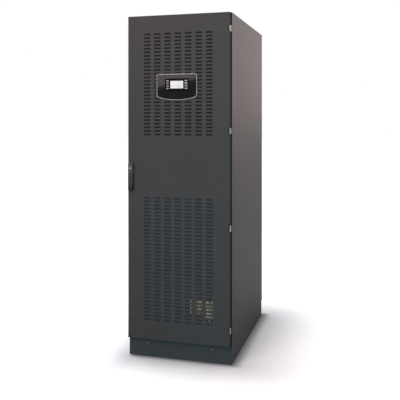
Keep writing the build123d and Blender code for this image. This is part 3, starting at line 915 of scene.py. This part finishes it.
class UPS_OT_add_gasket(bpy.types.Operator):
    """Tall foam gasket in the door's pan, which faces the front of the frame all round"""

    bl_idname = "ups_cabinet.add_gasket"
    bl_label = "Door gasket"

    def execute(self, context):
        sizes = context.scene.ups_pieces
        width = sizes.gasket_width
        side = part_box("post_front_right")[0].x - GASKET_LAP + width
        base_low, base_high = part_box("base_rails")
        top_low, top_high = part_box("top_rails")
        outer = (-side, (base_low.z + base_high.z - width) / 2, side, (top_low.z + top_high.z + width) / 2)
        back = BODY_FRONT - sizes.gasket_gap
        gasket = add_frame("door_gasket", outer, grow(outer, -width), SHEET_BACK, back, GASKET_EDGE, 3)
        finish_piece(gasket, "door", "gasket_rubber")
        return {"FINISHED"}


WINDOW_RELIEF = 0.3 * MM
WINDOW_GAP = 0.02 * MM


class UPS_OT_add_display_window(bpy.types.Operator):
    """Matt black window round the screen and its keys"""

    bl_idname = "ups_cabinet.add_display_window"
    bl_label = "Display window"

    def execute(self, context):
        screen = node_face("display_screen")
        key_low, key_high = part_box("display_keys")
        outer = grow((key_low.x, screen[1], key_high.x, screen[3]), context.scene.ups_pieces.window_border)
        front = FACE_FRONT - WINDOW_RELIEF
        window = add_frame("display_window", outer, screen, front, FACE_FRONT - WINDOW_GAP)
        finish_piece(window, "door", "window_black")
        return {"FINISHED"}


# The mats, and in the lower one the opening in front of the terminals, with its notch and its edge strip
MAT_SETBACK = 2.3 * MM
MAT_DEPTH = 5.0 * MM
MAT_SIDE_GAP = 3.0 * MM
HOUSING_GAP = 1.5 * MM
HOLDER_WIDTH = 9.0 * MM
HOLDER_DEPTH = 2.0 * MM
UPPER_MAT_HEIGHTS = (1.236, 1.830)
LOWER_MAT_HEIGHTS = (0.201, 0.915)
OPENING = (0.070, 0.269, 0.206, 0.349)
NOTCH_LEFT = 0.158
NOTCH_FOOT = 0.214
NOTCH_TOP = 0.275
NOTCH_OVERCUT = 1.0 * MM
STRIP_WIDTH = 7.5 * MM


class UPS_OT_add_filters(bpy.types.Operator):
    """Foam filter mats behind the door's slots, each in a thin frame, and a light strip at the opening"""

    bl_idname = "ups_cabinet.add_filters"
    bl_label = "Filter mats"

    def execute(self, context):
        front = DOOR_FRONT + MAT_SETBACK
        back = front + MAT_DEPTH
        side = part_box("door_stiffener_right")[0].x - MAT_SIDE_GAP
        left, bottom, right, top = OPENING
        housing = grow(node_face("display_housing"), HOUSING_GAP)
        mats = (
            ("filter_upper", UPPER_MAT_HEIGHTS, housing, "filter_foam"),
            ("filter_lower", LOWER_MAT_HEIGHTS, OPENING, "filter_foam_low"),
        )
        for name, (foot, head), opening, finish in mats:
            outer = (-side, foot, side, head)
            mat = add_frame(name, outer, opening, front, back)
            if opening == OPENING:
                low = (NOTCH_LEFT, front - NOTCH_OVERCUT, NOTCH_FOOT)
                cut_away(mat, add_block("notch", low, (right, back + NOTCH_OVERCUT, NOTCH_TOP)))
            finish_piece(mat, "door", finish)
            inner = grow(outer, -HOLDER_WIDTH)
            holder = add_frame(name + "_frame", outer, inner, back, back + HOLDER_DEPTH, edge=0.6 * MM)
            finish_piece(holder, "door", "black_plastic")
        strip_high = (left + STRIP_WIDTH, back, top)
        strip = add_block("window_strip", (left, front, bottom), strip_high, edge=0.4 * MM)
        finish_piece(strip, "door", "bracket_coat")
        return {"FINISHED"}


# The lock ring's radius and depth, and the key slot's corners in millimetres from the middle of the lock
LOCK_RING_SIZE = (5.8 * MM, 0.54 * MM)
KEY_SLOT = ((-0.7, 0.15, -3.0), (0.7, 0.5, 3.0))


class UPS_OT_add_lock(bpy.types.Operator):
    """Lock cylinder with its key slot, in the handle's head"""

    bl_idname = "ups_cabinet.add_lock"
    bl_label = "Lock cylinder"

    def execute(self, context):
        middle = ((HEAD_LOW.x + HEAD_HIGH.x) / 2, HEAD_LOW.y, HEAD_HIGH.z - LOCK_DROP)
        ring = add_disc("lock_ring", shifted(middle, 0, 0.32, 0), *LOCK_RING_SIZE, sides=48)
        inset_front(ring, 1.2 * MM, -0.25 * MM)
        bevel_edges(ring, 0.12 * MM)
        slot = add_block_at("lock_slot", middle, KEY_SLOT)
        # lock_metal paints the ring's lower half black, a painted shadow under the cylinder
        finish_piece(ring, "handle_head", "lock_metal")
        finish_piece(slot, "handle_head", "handle_black")
        return {"FINISHED"}


# The fans of the modules; the shares are of the fan's radius
FAN_BLADES = 7
FAN_TWIST = math.radians(-7)
GUARD_SHARES = (0.22, 0.48, 0.74, 1.0)
GUARD_TURNS = (45, 135)
GUARD_WIRE = 0.9 * MM
GUARD_BAR_SHARE = 2.1
HUB_SHARE = 0.3
TIP_SHARE = 0.93
BLADE_HALF = 9.0 * MM
BLADE_FRONT = 2.2 * MM
BLADE_BACK = 1.5 * MM
RECESS_DEPTH = 1.2 * MM
HUB_DEPTH = 3.0 * MM


def add_fan(name, centre, radius):
    """A fan behind a wire guard: returns its dark recess, its blades and its guard."""
    recess = add_disc(name + "_recess", shifted(centre, 0, -0.6, 0), radius, RECESS_DEPTH, sides=40)
    inset_front(recess, 2.0 * MM, -0.6 * MM)
    x, y, z = centre
    root = HUB_SHARE * radius
    tip = (x + TIP_SHARE * radius, y - BLADE_BACK, z + BLADE_HALF)
    blade = add_block(name + "_blade", (x + root, y - BLADE_FRONT, z - BLADE_HALF), tip)
    pick_faces(blade)
    bpy.ops.transform.rotate(value=FAN_TWIST, orient_axis="X", center_override=shifted(centre, 0, -2, 0))
    sweep = math.radians(360) * (FAN_BLADES - 1) / FAN_BLADES
    bpy.ops.mesh.spin(steps=FAN_BLADES - 1, dupli=True, angle=sweep, center=centre, axis=(0.0, 1.0, 0.0))
    leave_edit()
    hub = add_disc(name + "_hub", shifted(centre, 0, -2, 0), root, HUB_DEPTH, sides=28, edge=0.6 * MM)
    wires = []
    for share in GUARD_SHARES:
        wires.append(add_ring(name + "_ring", shifted(centre, 0, -5, 0), share * radius, GUARD_WIRE))
    length = GUARD_BAR_SHARE * radius
    for degrees in GUARD_TURNS:
        turn = (0.0, math.radians(degrees), 0.0)
        wires.append(add_disc(name + "_bar", shifted(centre, 0, -4.4, 0), GUARD_WIRE, length, turn, 8))
    return recess, join_pieces(name + "_blades", [blade, hub]), join_pieces(name + "_guard", wires)


# The screws: the cross recess and the rounding as shares of the head's radius or height, and how far the
# screws are from a front's middle, in millimetres
CROSS_REACH = 0.55
CROSS_BARS = ((1.0, 0.22), (0.22, 1.0))
CROSS_FLOOR = 0.6
HEAD_ROUNDING = 0.25
FRONT_SCREW_X = 231


def add_screw(name, centre, radius, proud):
    """A pan head screw with a cross recess, facing the front."""
    x, y, z = centre
    head = add_disc(name, (x, y - proud / 2, z), radius, proud, sides=20, edge=HEAD_ROUNDING * proud)
    reach = CROSS_REACH * radius
    for wide, tall in CROSS_BARS:
        low = (x - reach * wide, y - proud - 0.05 * MM, z - reach * tall)
        high = (x + reach * wide, y - CROSS_FLOOR * proud, z + reach * tall)
        cut_away(head, add_block(name + "_slot", low, high))
    return head


def add_screws(name, origin, heights, radius, proud):
    """Screws at both edges of a front; their places on it are in millimetres."""
    places = [shifted(origin, x, 0, z) for x in (-FRONT_SCREW_X, FRONT_SCREW_X) for z in heights]
    return [add_screw(name, place, radius, proud) for place in places]


# Module fronts; places and corners are in millimetres from the middle of the front's lower edge, and a size
# is a radius and a height
MODULES = 7
LIP_REACH = 12.0 * MM
FAN_XS = (-118, 0, 118)
FAN_RISE = 84
FAN_RADIUS = 46.0 * MM
THUMB_SCREW_RISES = (45, 123)
THUMB_SCREW_SIZE = (6.0 * MM, 5.0 * MM)
INDICATOR = ((182, -1.2, 58), (206, 0, 112))
LAMP_SIZE = (2.2 * MM, 1.4 * MM)
LAMP_PLACES = ((194, -1.5, 69), (194, -1.5, 85), (194, -1.5, 101))
MODULE_VENT = ((-208, -0.8, 52), (-180, 0, 56))
MODULE_VENTS = 8
MODULE_VENT_PITCH = 8.5 * MM


class UPS_OT_add_module_fronts(bpy.types.Operator):
    """Fans, indicator lamps, vents and thumb screws on every power module"""

    bl_idname = "ups_cabinet.add_module_fronts"
    bl_label = "Power module fronts"

    def execute(self, context):
        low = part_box("power_module_1")[0]
        origin = (0.0, low.y + LIP_REACH, low.z)
        fans = [add_fan("fan", shifted(origin, x, 0, FAN_RISE), FAN_RADIUS) for x in FAN_XS]
        dark, blades, wires = (list(pieces) for pieces in zip(*fans))
        wires += add_screws("thumb_screw", origin, THUMB_SCREW_RISES, *THUMB_SCREW_SIZE)
        dark.append(add_block_at("indicator", origin, INDICATOR, edge=0.5 * MM))
        lamps = [
            add_disc("lamp", shifted(origin, *place), *LAMP_SIZE, sides=16, edge=0.5 * MM)
            for place in LAMP_PLACES
        ]
        # The vents are thin black bars on the front: painted shade standing in for the dark in their slots
        vent = add_block_at("module_vent", origin, MODULE_VENT, edge=0.4 * MM)
        repeat_piece(vent, MODULE_VENTS, MODULE_VENT_PITCH)
        dark.append(vent)
        groups = (
            ("module_recesses", dark, "black_plastic", "black_plastic"),
            ("module_fan_blades", blades, "black_plastic", "fan_plastic"),
            ("module_guards", wires, "zinc_steel", "guard_metal"),
            ("module_lamps", lamps, "display_keys", "lamp_green"),
        )
        for name, pieces, slot, finish in groups:
            first = join_pieces(name + "_1", pieces)
            for number in range(2, MODULES + 1):
                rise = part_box(f"power_module_{number}")[0].z - low.z
                twin = copy_piece(first, f"{name}_{number}", (0.0, 0.0, rise))
                finish_piece(twin, "cabinet", finish)
            finish_piece(first, "cabinet", finish)
        return {"FINISHED"}


# Bypass front; corners and heights are in millimetres from the middle of the front's lower edge, and a size
# is a radius and a height
BREAKERS = 4
BREAKER_PITCH = 78.0 * MM
BREAKER = ((-205, -9, 60), (-145, 0, 160))
BREAKER_RIM = 12.0 * MM
BREAKER_SINK = 4.0 * MM
LARGE_FACE = 1e-3
TOGGLE = ((-186, -11, 100), (-164, -4, 126))
COVER = ((-205, -1.5, 205), (-85, 0, 235))
COVER_ROWS = 3
COVER_PITCH = (130.0 * MM, 38.0 * MM)
COVER_SCREWS = ((-199, -1.5, 220), (-91, -1.5, 220))
COVER_SCREW_SIZE = (3.2 * MM, 1.6 * MM)
BYPASS_SCREW_RISES = (30, 174, 318)
BYPASS_SCREW_SIZE = (5.0 * MM, 2.4 * MM)
BYPASS_VENT = ((120, -0.8, 60), (210, 0, 65))
BYPASS_VENTS = 22
BYPASS_VENT_PITCH = 11.5 * MM


class UPS_OT_add_bypass_front(bpy.types.Operator):
    """Breakers, card covers and vents on the bypass unit"""

    bl_idname = "ups_cabinet.add_bypass_front"
    bl_label = "Bypass front"

    def execute(self, context):
        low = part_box("bypass_unit")[0]
        origin = (0.0, low.y, low.z)
        breaker = add_block_at("breaker", origin, BREAKER, edge=1.5 * MM)
        pick_faces(breaker, lambda face: faces_front(face) and face.calc_area() > LARGE_FACE)
        bpy.ops.mesh.inset(thickness=BREAKER_RIM, use_even_offset=True)
        bpy.ops.transform.translate(value=(0.0, BREAKER_SINK, 0.0))
        leave_edit()
        toggle = add_block_at("breaker_toggle", origin, TOGGLE, edge=2.0 * MM, segments=3)
        steps = [(BREAKER_PITCH * step, 0.0, 0.0) for step in range(1, BREAKERS)]
        cover = add_block_at("card_cover", origin, COVER, edge=0.5 * MM)
        pair = [add_screw("card_screw", shifted(origin, *place), *COVER_SCREW_SIZE) for place in COVER_SCREWS]
        across, up = COVER_PITCH
        places = [(across * column, 0.0, up * row) for row in range(COVER_ROWS) for column in (0, 1)]
        screws = with_copies(pair, places[1:])
        screws += add_screws("bypass_screw", origin, BYPASS_SCREW_RISES, *BYPASS_SCREW_SIZE)
        # The vents are thin black bars on the front: painted shade standing in for the dark in their slots
        vent = add_block_at("bypass_vent", origin, BYPASS_VENT, edge=0.4 * MM)
        repeat_piece(vent, BYPASS_VENTS, BYPASS_VENT_PITCH)
        groups = (
            ("bypass_breakers", with_copies([breaker], steps), "black_plastic", "black_plastic"),
            ("bypass_toggles", with_copies([toggle], steps), "display_keys", "key_print"),
            ("bypass_covers", with_copies([cover], places[1:]), "module_paint", "handle_grey"),
            ("bypass_screws", screws, "screw_steel", "guard_metal"),
            ("bypass_vent", [vent], "black_plastic", "black_plastic"),
        )
        for name, pieces, slot, finish in groups:
            finish_joined(name, pieces, "cabinet", finish)
        return {"FINISHED"}


# The terminals, the ribs, strips and end plates round them, and the earth link; how far the studs are from
# the middle, and the link beside one of them, is in millimetres, and a size is a radius and a height
TERMINALS = 5
STUD_RISE = 22
LINK_SIDE = 8.4
WASHER_SIZE = (9.5 * MM, 1.0 * MM)
NUT_SIZE = (8.5 * MM, 6.0 * MM)
LUG_SIZE = (8.0 * MM, 2.0 * MM)
BOLT_SIZE = (5.5 * MM, 4.0 * MM)
LINK_RADIUS = 3.2 * MM
LINK_PROUD = 4.0 * MM
BAR_PROUD = 4.0 * MM
RIB_HALF = 6.0 * MM
RIB_PROUD = 6.0 * MM
STRIP_RISE = 9.0 * MM
STRIP_DEPTH = 1.5 * MM
END_WIDTH = 4.0 * MM
END_PROUD = 7.0 * MM
LINK_LEAN = 8.6 * MM
LINK_DROP = 88.0 * MM


class UPS_OT_add_terminal_nuts(bpy.types.Operator):
    """Washers and nuts on the terminals, ribs, strips and end plates round them, and the earth link"""

    bl_idname = "ups_cabinet.add_terminal_nuts"
    bl_label = "Terminal nuts and ribs"

    def execute(self, context):
        bars_low, bars_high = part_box("terminal_bars")
        low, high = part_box("terminal_block")
        bar_front = low.y - BAR_PROUD
        pitch = (high.x - low.x) / TERMINALS
        first = (low.x + pitch / 2, bar_front, (low.z + high.z) / 2)
        nuts = []
        for rise in (-STUD_RISE, STUD_RISE):
            nuts.append(add_disc("washer", shifted(first, 0, -0.5, rise), *WASHER_SIZE, sides=24))
            place = shifted(first, 0, -4, rise)
            nuts.append(add_disc("nut", place, *NUT_SIZE, sides=6, edge=0.6 * MM))
        nuts = with_copies(nuts, [(pitch * step, 0.0, 0.0) for step in range(1, TERMINALS)])
        finish_joined("terminal_nuts", nuts, "cabinet", "guard_metal")
        ribs = []
        for step in range(TERMINALS + 1):
            x = min(max(low.x + pitch * step, low.x + RIB_HALF), high.x - RIB_HALF)
            rib_low = (x - RIB_HALF, bar_front - RIB_PROUD, low.z)
            ribs.append(add_block("terminal_rib", rib_low, (x + RIB_HALF, low.y, high.z), edge=0.6 * MM))
        foot = bars_low.z - STRIP_RISE
        top = bars_high.z + STRIP_RISE
        for low_z, high_z in ((foot, low.z), (high.z, top)):
            strip_high = (high.x, low.y + STRIP_DEPTH, high_z)
            ribs.append(add_block("terminal_strip", (low.x, low.y, low_z), strip_high, edge=0.4 * MM))
        for x in (low.x - END_WIDTH, high.x - END_WIDTH):
            end_low = (x, bar_front - END_PROUD, foot)
            ribs.append(add_block("terminal_end", end_low, (x + END_WIDTH, high.y, top), edge=0.8 * MM))
        finish_joined("terminal_ribs", ribs, "cabinet", "cream_plastic")
        middle = (first[0] + 2 * pitch, bar_front, first[2])
        add_link(Vector(shifted(middle, LINK_SIDE, -3, -STUD_RISE)))
        return {"FINISHED"}


def add_link(top):
    """A round pale link from beside a stud down to the bracket, with a lug at each end."""
    foot = Vector((top.x + LINK_LEAN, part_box("terminal_bracket")[0].y - LINK_PROUD, top.z - LINK_DROP))
    run = foot - top
    turn = run.to_track_quat("Z", "Y").to_euler()
    pieces = [
        add_disc("link", (top + foot) / 2, LINK_RADIUS, run.length, turn, 16, 0.6 * MM),
        add_disc("link_lug", shifted(top, 0, -4.2, 0), *LUG_SIZE, sides=24, edge=0.4 * MM),
        add_disc("link_lug", shifted(foot, 0, 2, 0), *LUG_SIZE, sides=24, edge=0.4 * MM),
        add_disc("link_bolt", shifted(foot, 0, -1, 0), *BOLT_SIZE, sides=6, edge=0.5 * MM),
    ]
    finish_joined("earth_link", pieces, "cabinet", "link_plastic")


# The rods, and their guides' corners in millimetres from the sheet behind the rod's middle line
ROD_RADIUS = 4.0 * MM
ROD_END_GAP = 30.0 * MM
ROD_HEIGHT = 9.0 * MM
GUIDE = ((-7, 0, -8), (7, 16, 8))
GUIDE_SHARES = (0.12, 0.88)


class UPS_OT_add_latch_rods(bpy.types.Operator):
    """Latch rods that run up and down from the lock, with their guides"""

    bl_idname = "ups_cabinet.add_latch_rods"
    bl_label = "Latch rods"

    def execute(self, context):
        case_low, case_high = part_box("lock_case")
        door_low, door_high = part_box("door_skin")
        x = (case_low.x + case_high.x) / 2
        sheet = case_low.y
        rods = []
        guides = []
        for start, end in ((door_low.z + ROD_END_GAP, case_low.z), (case_high.z, door_high.z - ROD_END_GAP)):
            middle = (x, sheet + ROD_HEIGHT, (start + end) / 2)
            rods.append(add_disc("latch_rod", middle, ROD_RADIUS, end - start, UPRIGHT, 16, 1.0 * MM))
            for share in GUIDE_SHARES:
                origin = (x, sheet, start + share * (end - start))
                guides.append(add_block_at("rod_guide", origin, GUIDE, edge=1.5 * MM, segments=3))
        finish_joined("latch_rods", rods, "door", "guard_metal")
        finish_joined("rod_guides", guides, "door", "black_plastic")
        return {"FINISHED"}


# The studio
CAMERA_PLACE = (1.0496, BODY_FRONT - 3.2681, 1.3207)
CAMERA_TURN = (math.radians(90), 0.0, math.radians(15.895))
CAMERA_SHIFT = -0.1941
SENSOR_WIDTH = 36.0
CLIP_END = 200.0
WARM = (1.0, 0.80, 0.76)
COOL = (0.40, 0.90, 1.0)

# The lamps: where each one is and looks, its size, its colour and its roll in degrees
LAMPS = {
    "key": ((-1.15, -3.75, 2.555), (0.0, 0.0, 1.5), 1.6, WARM, 13.0),
    "front": ((-0.4, -2.0, 3.3), (0.0, -0.46, 1.8), 1.2, (1.0, 0.70, 0.66), 0.0),
    "side": ((2.3, -0.2, 3.2), (0.3, 0.0, 1.7), 1.4, WARM, 0.0),
    "fill": ((0.7, -4.1, 0.8), (0.0, 0.0, 0.4), 1.4, COOL, 0.0),
    "compartment": ((0.12, -0.445, 0.235), (0.12, -0.33, 0.235), 0.19, (0.94, 1.0, 0.92), 0.0),
    "rim": ((1.35, 3.4, 2.5), (0.3, 0.0, 1.6), 2.4, WARM, 0.0),
    "top": ((-1.3, 1.5, 4.2), (0.0, 0.0, 0.0), 2.2, (0.85, 0.94, 1.0), 0.0),
    "left": ((-3.2, 0.9, 2.2), (-0.3, 0.0, 1.0), 2.2, (1.0, 0.96, 0.94), 0.0),
}


class UPS_OT_add_stage(bpy.types.Operator):
    """Floor, lamps, world and camera"""

    bl_idname = "ups_cabinet.add_stage"
    bl_label = "Studio"

    def execute(self, context):
        scene = context.scene
        add_floor()
        add_world(scene)
        for name in LAMPS:
            add_lamp(scene, name)
        data = bpy.data.cameras.new("camera")
        data.sensor_width = SENSOR_WIDTH
        data.lens = scene.ups_stage.lens
        data.shift_y = CAMERA_SHIFT
        data.clip_end = CLIP_END
        camera = bpy.data.objects.new("camera", data)
        camera.location = CAMERA_PLACE
        camera.rotation_euler = CAMERA_TURN
        scene.collection.objects.link(camera)
        scene.camera = camera
        scene.view_settings.view_transform = "Standard"
        return {"FINISHED"}


def add_lamp(scene, name):
    """A square soft lamp that looks at its target with the power in the panel, unseen by the camera."""
    place, target, size, colour, roll = LAMPS[name]
    data = bpy.data.lights.new(name + "_lamp", "AREA")
    data.shape = "SQUARE"
    data.size = size
    data.energy = getattr(scene.ups_stage, name + "_power")
    data.color = colour
    lamp = bpy.data.objects.new(name + "_lamp", data)
    scene.collection.objects.link(lamp)
    lamp.location = place
    aim = (Vector(target) - Vector(place)).to_track_quat("-Z", "Y")
    lamp.rotation_euler = (aim @ Quaternion((0.0, 0.0, 1.0), math.radians(roll))).to_euler()
    lamp.visible_camera = False


def seen_ray(tree):
    """1 for the camera's own rays and for reflected and refracted ones, else 0."""
    path = tree.nodes.new("ShaderNodeLightPath").outputs
    seen = math_node(tree, "MAXIMUM", path["Is Camera Ray"], path["Is Glossy Ray"])
    return math_node(tree, "MAXIMUM", seen, path["Is Transmission Ray"])


# The floor's shade: how fast it fades on each side, where it starts at the left, how far it reaches, and
# how dark it is at the plinth; then the colours of the floor and of the soft light
RIGHT_FADE = 0.7
LEFT_FADE = 2.0
LEFT_START = 0.06
SHADE_REACH = 0.60
SHADE_CURVE = 0.8
CONTACT_SHADOW_REACH = 0.05
CONTACT_SHADOW_LEVEL = 0.35
FLOOR_SIZE = 80.0
FLOOR_PALE = (0.56, 0.595, 0.60)
FLOOR_BOUNCE = (0.14, 0.14, 0.14)
FLOOR_GLOW = (1.0, 0.99, 0.995)
SOFT_BLUE = (0.75, 0.82, 1.0)
BLACK = (0.0, 0.0, 0.0)
WHITE = (1.0, 1.0, 1.0)


def plinth_distance(tree):
    """How far a place on the floor is from the plinth; it counts twice over at the lit left."""
    low, high = CAD_BOX
    axes = split_axes(tree, object_coordinates(tree))
    right = math_node(tree, "MULTIPLY_ADD", axes["X"], RIGHT_FADE, -RIGHT_FADE * high.x)
    left = math_node(tree, "MULTIPLY_ADD", axes["X"], -LEFT_FADE, LEFT_FADE * low.x + LEFT_START)
    front = math_node(tree, "SUBTRACT", BODY_FRONT, axes["Y"])
    rear = math_node(tree, "SUBTRACT", axes["Y"], high.y)
    squares = []
    for one, other in ((right, left), (front, rear)):
        outside = math_node(tree, "MAXIMUM", math_node(tree, "MAXIMUM", one, other), 0.0)
        squares.append(math_node(tree, "MULTIPLY", outside, outside))
    return math_node(tree, "SQRT", math_node(tree, "ADD", *squares))


def add_floor():
    """A pale floor that shows white to the camera and keeps the cabinet's shadow, with a painted shadow round
    the plinth as well.
    """
    deselect_all()
    bpy.ops.mesh.primitive_plane_add(size=FLOOR_SIZE, location=(0.0, 0.0, 0.0))
    floor = name_piece("floor")
    apply_place(floor)
    material = bpy.data.materials.new("studio_floor")
    material.use_nodes = True
    tree = material.node_tree
    tree.nodes.clear()
    distance = plinth_distance(tree)
    # Painted contact shadow: the floor's colour darkens at the plinth's foot
    contact_shadow = map_range(tree, distance, 0.0, CONTACT_SHADOW_REACH, CONTACT_SHADOW_LEVEL, 1.0)
    pale = mix_colour(tree, contact_shadow, BLACK, FLOOR_PALE)
    camera_ray = tree.nodes.new("ShaderNodeLightPath").outputs["Is Camera Ray"]
    colour = mix_colour(tree, camera_ray, FLOOR_BOUNCE, pale)
    diffuse = add_node(tree, "ShaderNodeBsdfDiffuse", Color=colour)
    # Painted shadow: the glow fades out towards the plinth, reaching furthest at the right and least at the
    # left
    level = math_node(tree, "POWER", math_node(tree, "DIVIDE", distance, SHADE_REACH), SHADE_CURVE)
    strength = math_node(tree, "MULTIPLY", seen_ray(tree), math_node(tree, "MINIMUM", level, 1.0))
    glow = add_node(tree, "ShaderNodeEmission", Color=FLOOR_GLOW, Strength=strength)
    total = tree.nodes.new("ShaderNodeAddShader")
    tree.links.new(diffuse.outputs[0], total.inputs[0])
    tree.links.new(glow.outputs[0], total.inputs[1])
    add_node(tree, "ShaderNodeOutputMaterial", Surface=total.outputs[0])
    floor.data.materials.append(material)


def add_world(scene):
    """A world that shows white to the camera and gives the cabinet a plain soft light."""
    world = bpy.data.worlds.new("studio_world")
    scene.world = world
    world.use_nodes = True
    tree = world.node_tree
    background = tree.nodes["Background"]
    soft = scene.ups_stage.soft_light
    seen = seen_ray(tree)
    feed(tree, background.inputs["Color"], mix_colour(tree, seen, SOFT_BLUE, WHITE))
    feed(tree, background.inputs["Strength"], math_node(tree, "MULTIPLY_ADD", seen, 1.0 - soft, soft))


class UPS_PT_panel(bpy.types.Panel):
    """The cabinet's settings and steps"""

    bl_label = "UPS cabinet"
    bl_idname = "UPS_PT_panel"
    bl_space_type = "VIEW_3D"
    bl_region_type = "UI"
    bl_category = "UPS cabinet"

    def draw(self, context):
        layout = self.layout
        for group in (context.scene.ups_finish, context.scene.ups_pieces, context.scene.ups_stage):
            for key in group.__annotations__:
                layout.prop(group, key)
        for step in STEPS:
            layout.operator(step.bl_idname)


STEPS = (
    UPS_OT_finish_frame,
    UPS_OT_add_gasket,
    UPS_OT_add_display_window,
    UPS_OT_add_filters,
    UPS_OT_add_lock,
    UPS_OT_add_module_fronts,
    UPS_OT_add_bypass_front,
    UPS_OT_add_terminal_nuts,
    UPS_OT_add_latch_rods,
    UPS_OT_add_stage,
)
SETTINGS = (
    ("ups_finish", FinishSettings),
    ("ups_pieces", PieceSettings),
    ("ups_stage", StageSettings),
)


def register():
    for _, settings in SETTINGS:
        bpy.utils.register_class(settings)
    for step in STEPS:
        bpy.utils.register_class(step)
    bpy.utils.register_class(UPS_PT_panel)
    for key, settings in SETTINGS:
        setattr(bpy.types.Scene, key, PointerProperty(type=settings))


def unregister():
    for key, _ in SETTINGS:
        delattr(bpy.types.Scene, key)
    bpy.utils.unregister_class(UPS_PT_panel)
    for step in reversed(STEPS):
        bpy.utils.unregister_class(step)
    for _, settings in reversed(SETTINGS):
        bpy.utils.unregister_class(settings)


def run_step(step):
    """Run an operator by its name, and stop if it doesn't finish."""
    module, name = step.bl_idname.split(".")
    result = getattr(getattr(bpy.ops, module), name)()
    if result != {"FINISHED"}:
        raise RuntimeError(f"{step.bl_idname} did not finish")


def main():
    """Register the add-on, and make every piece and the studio."""
    register()
    for step in STEPS:
        run_step(step)


if __name__ == "__main__":
    main()
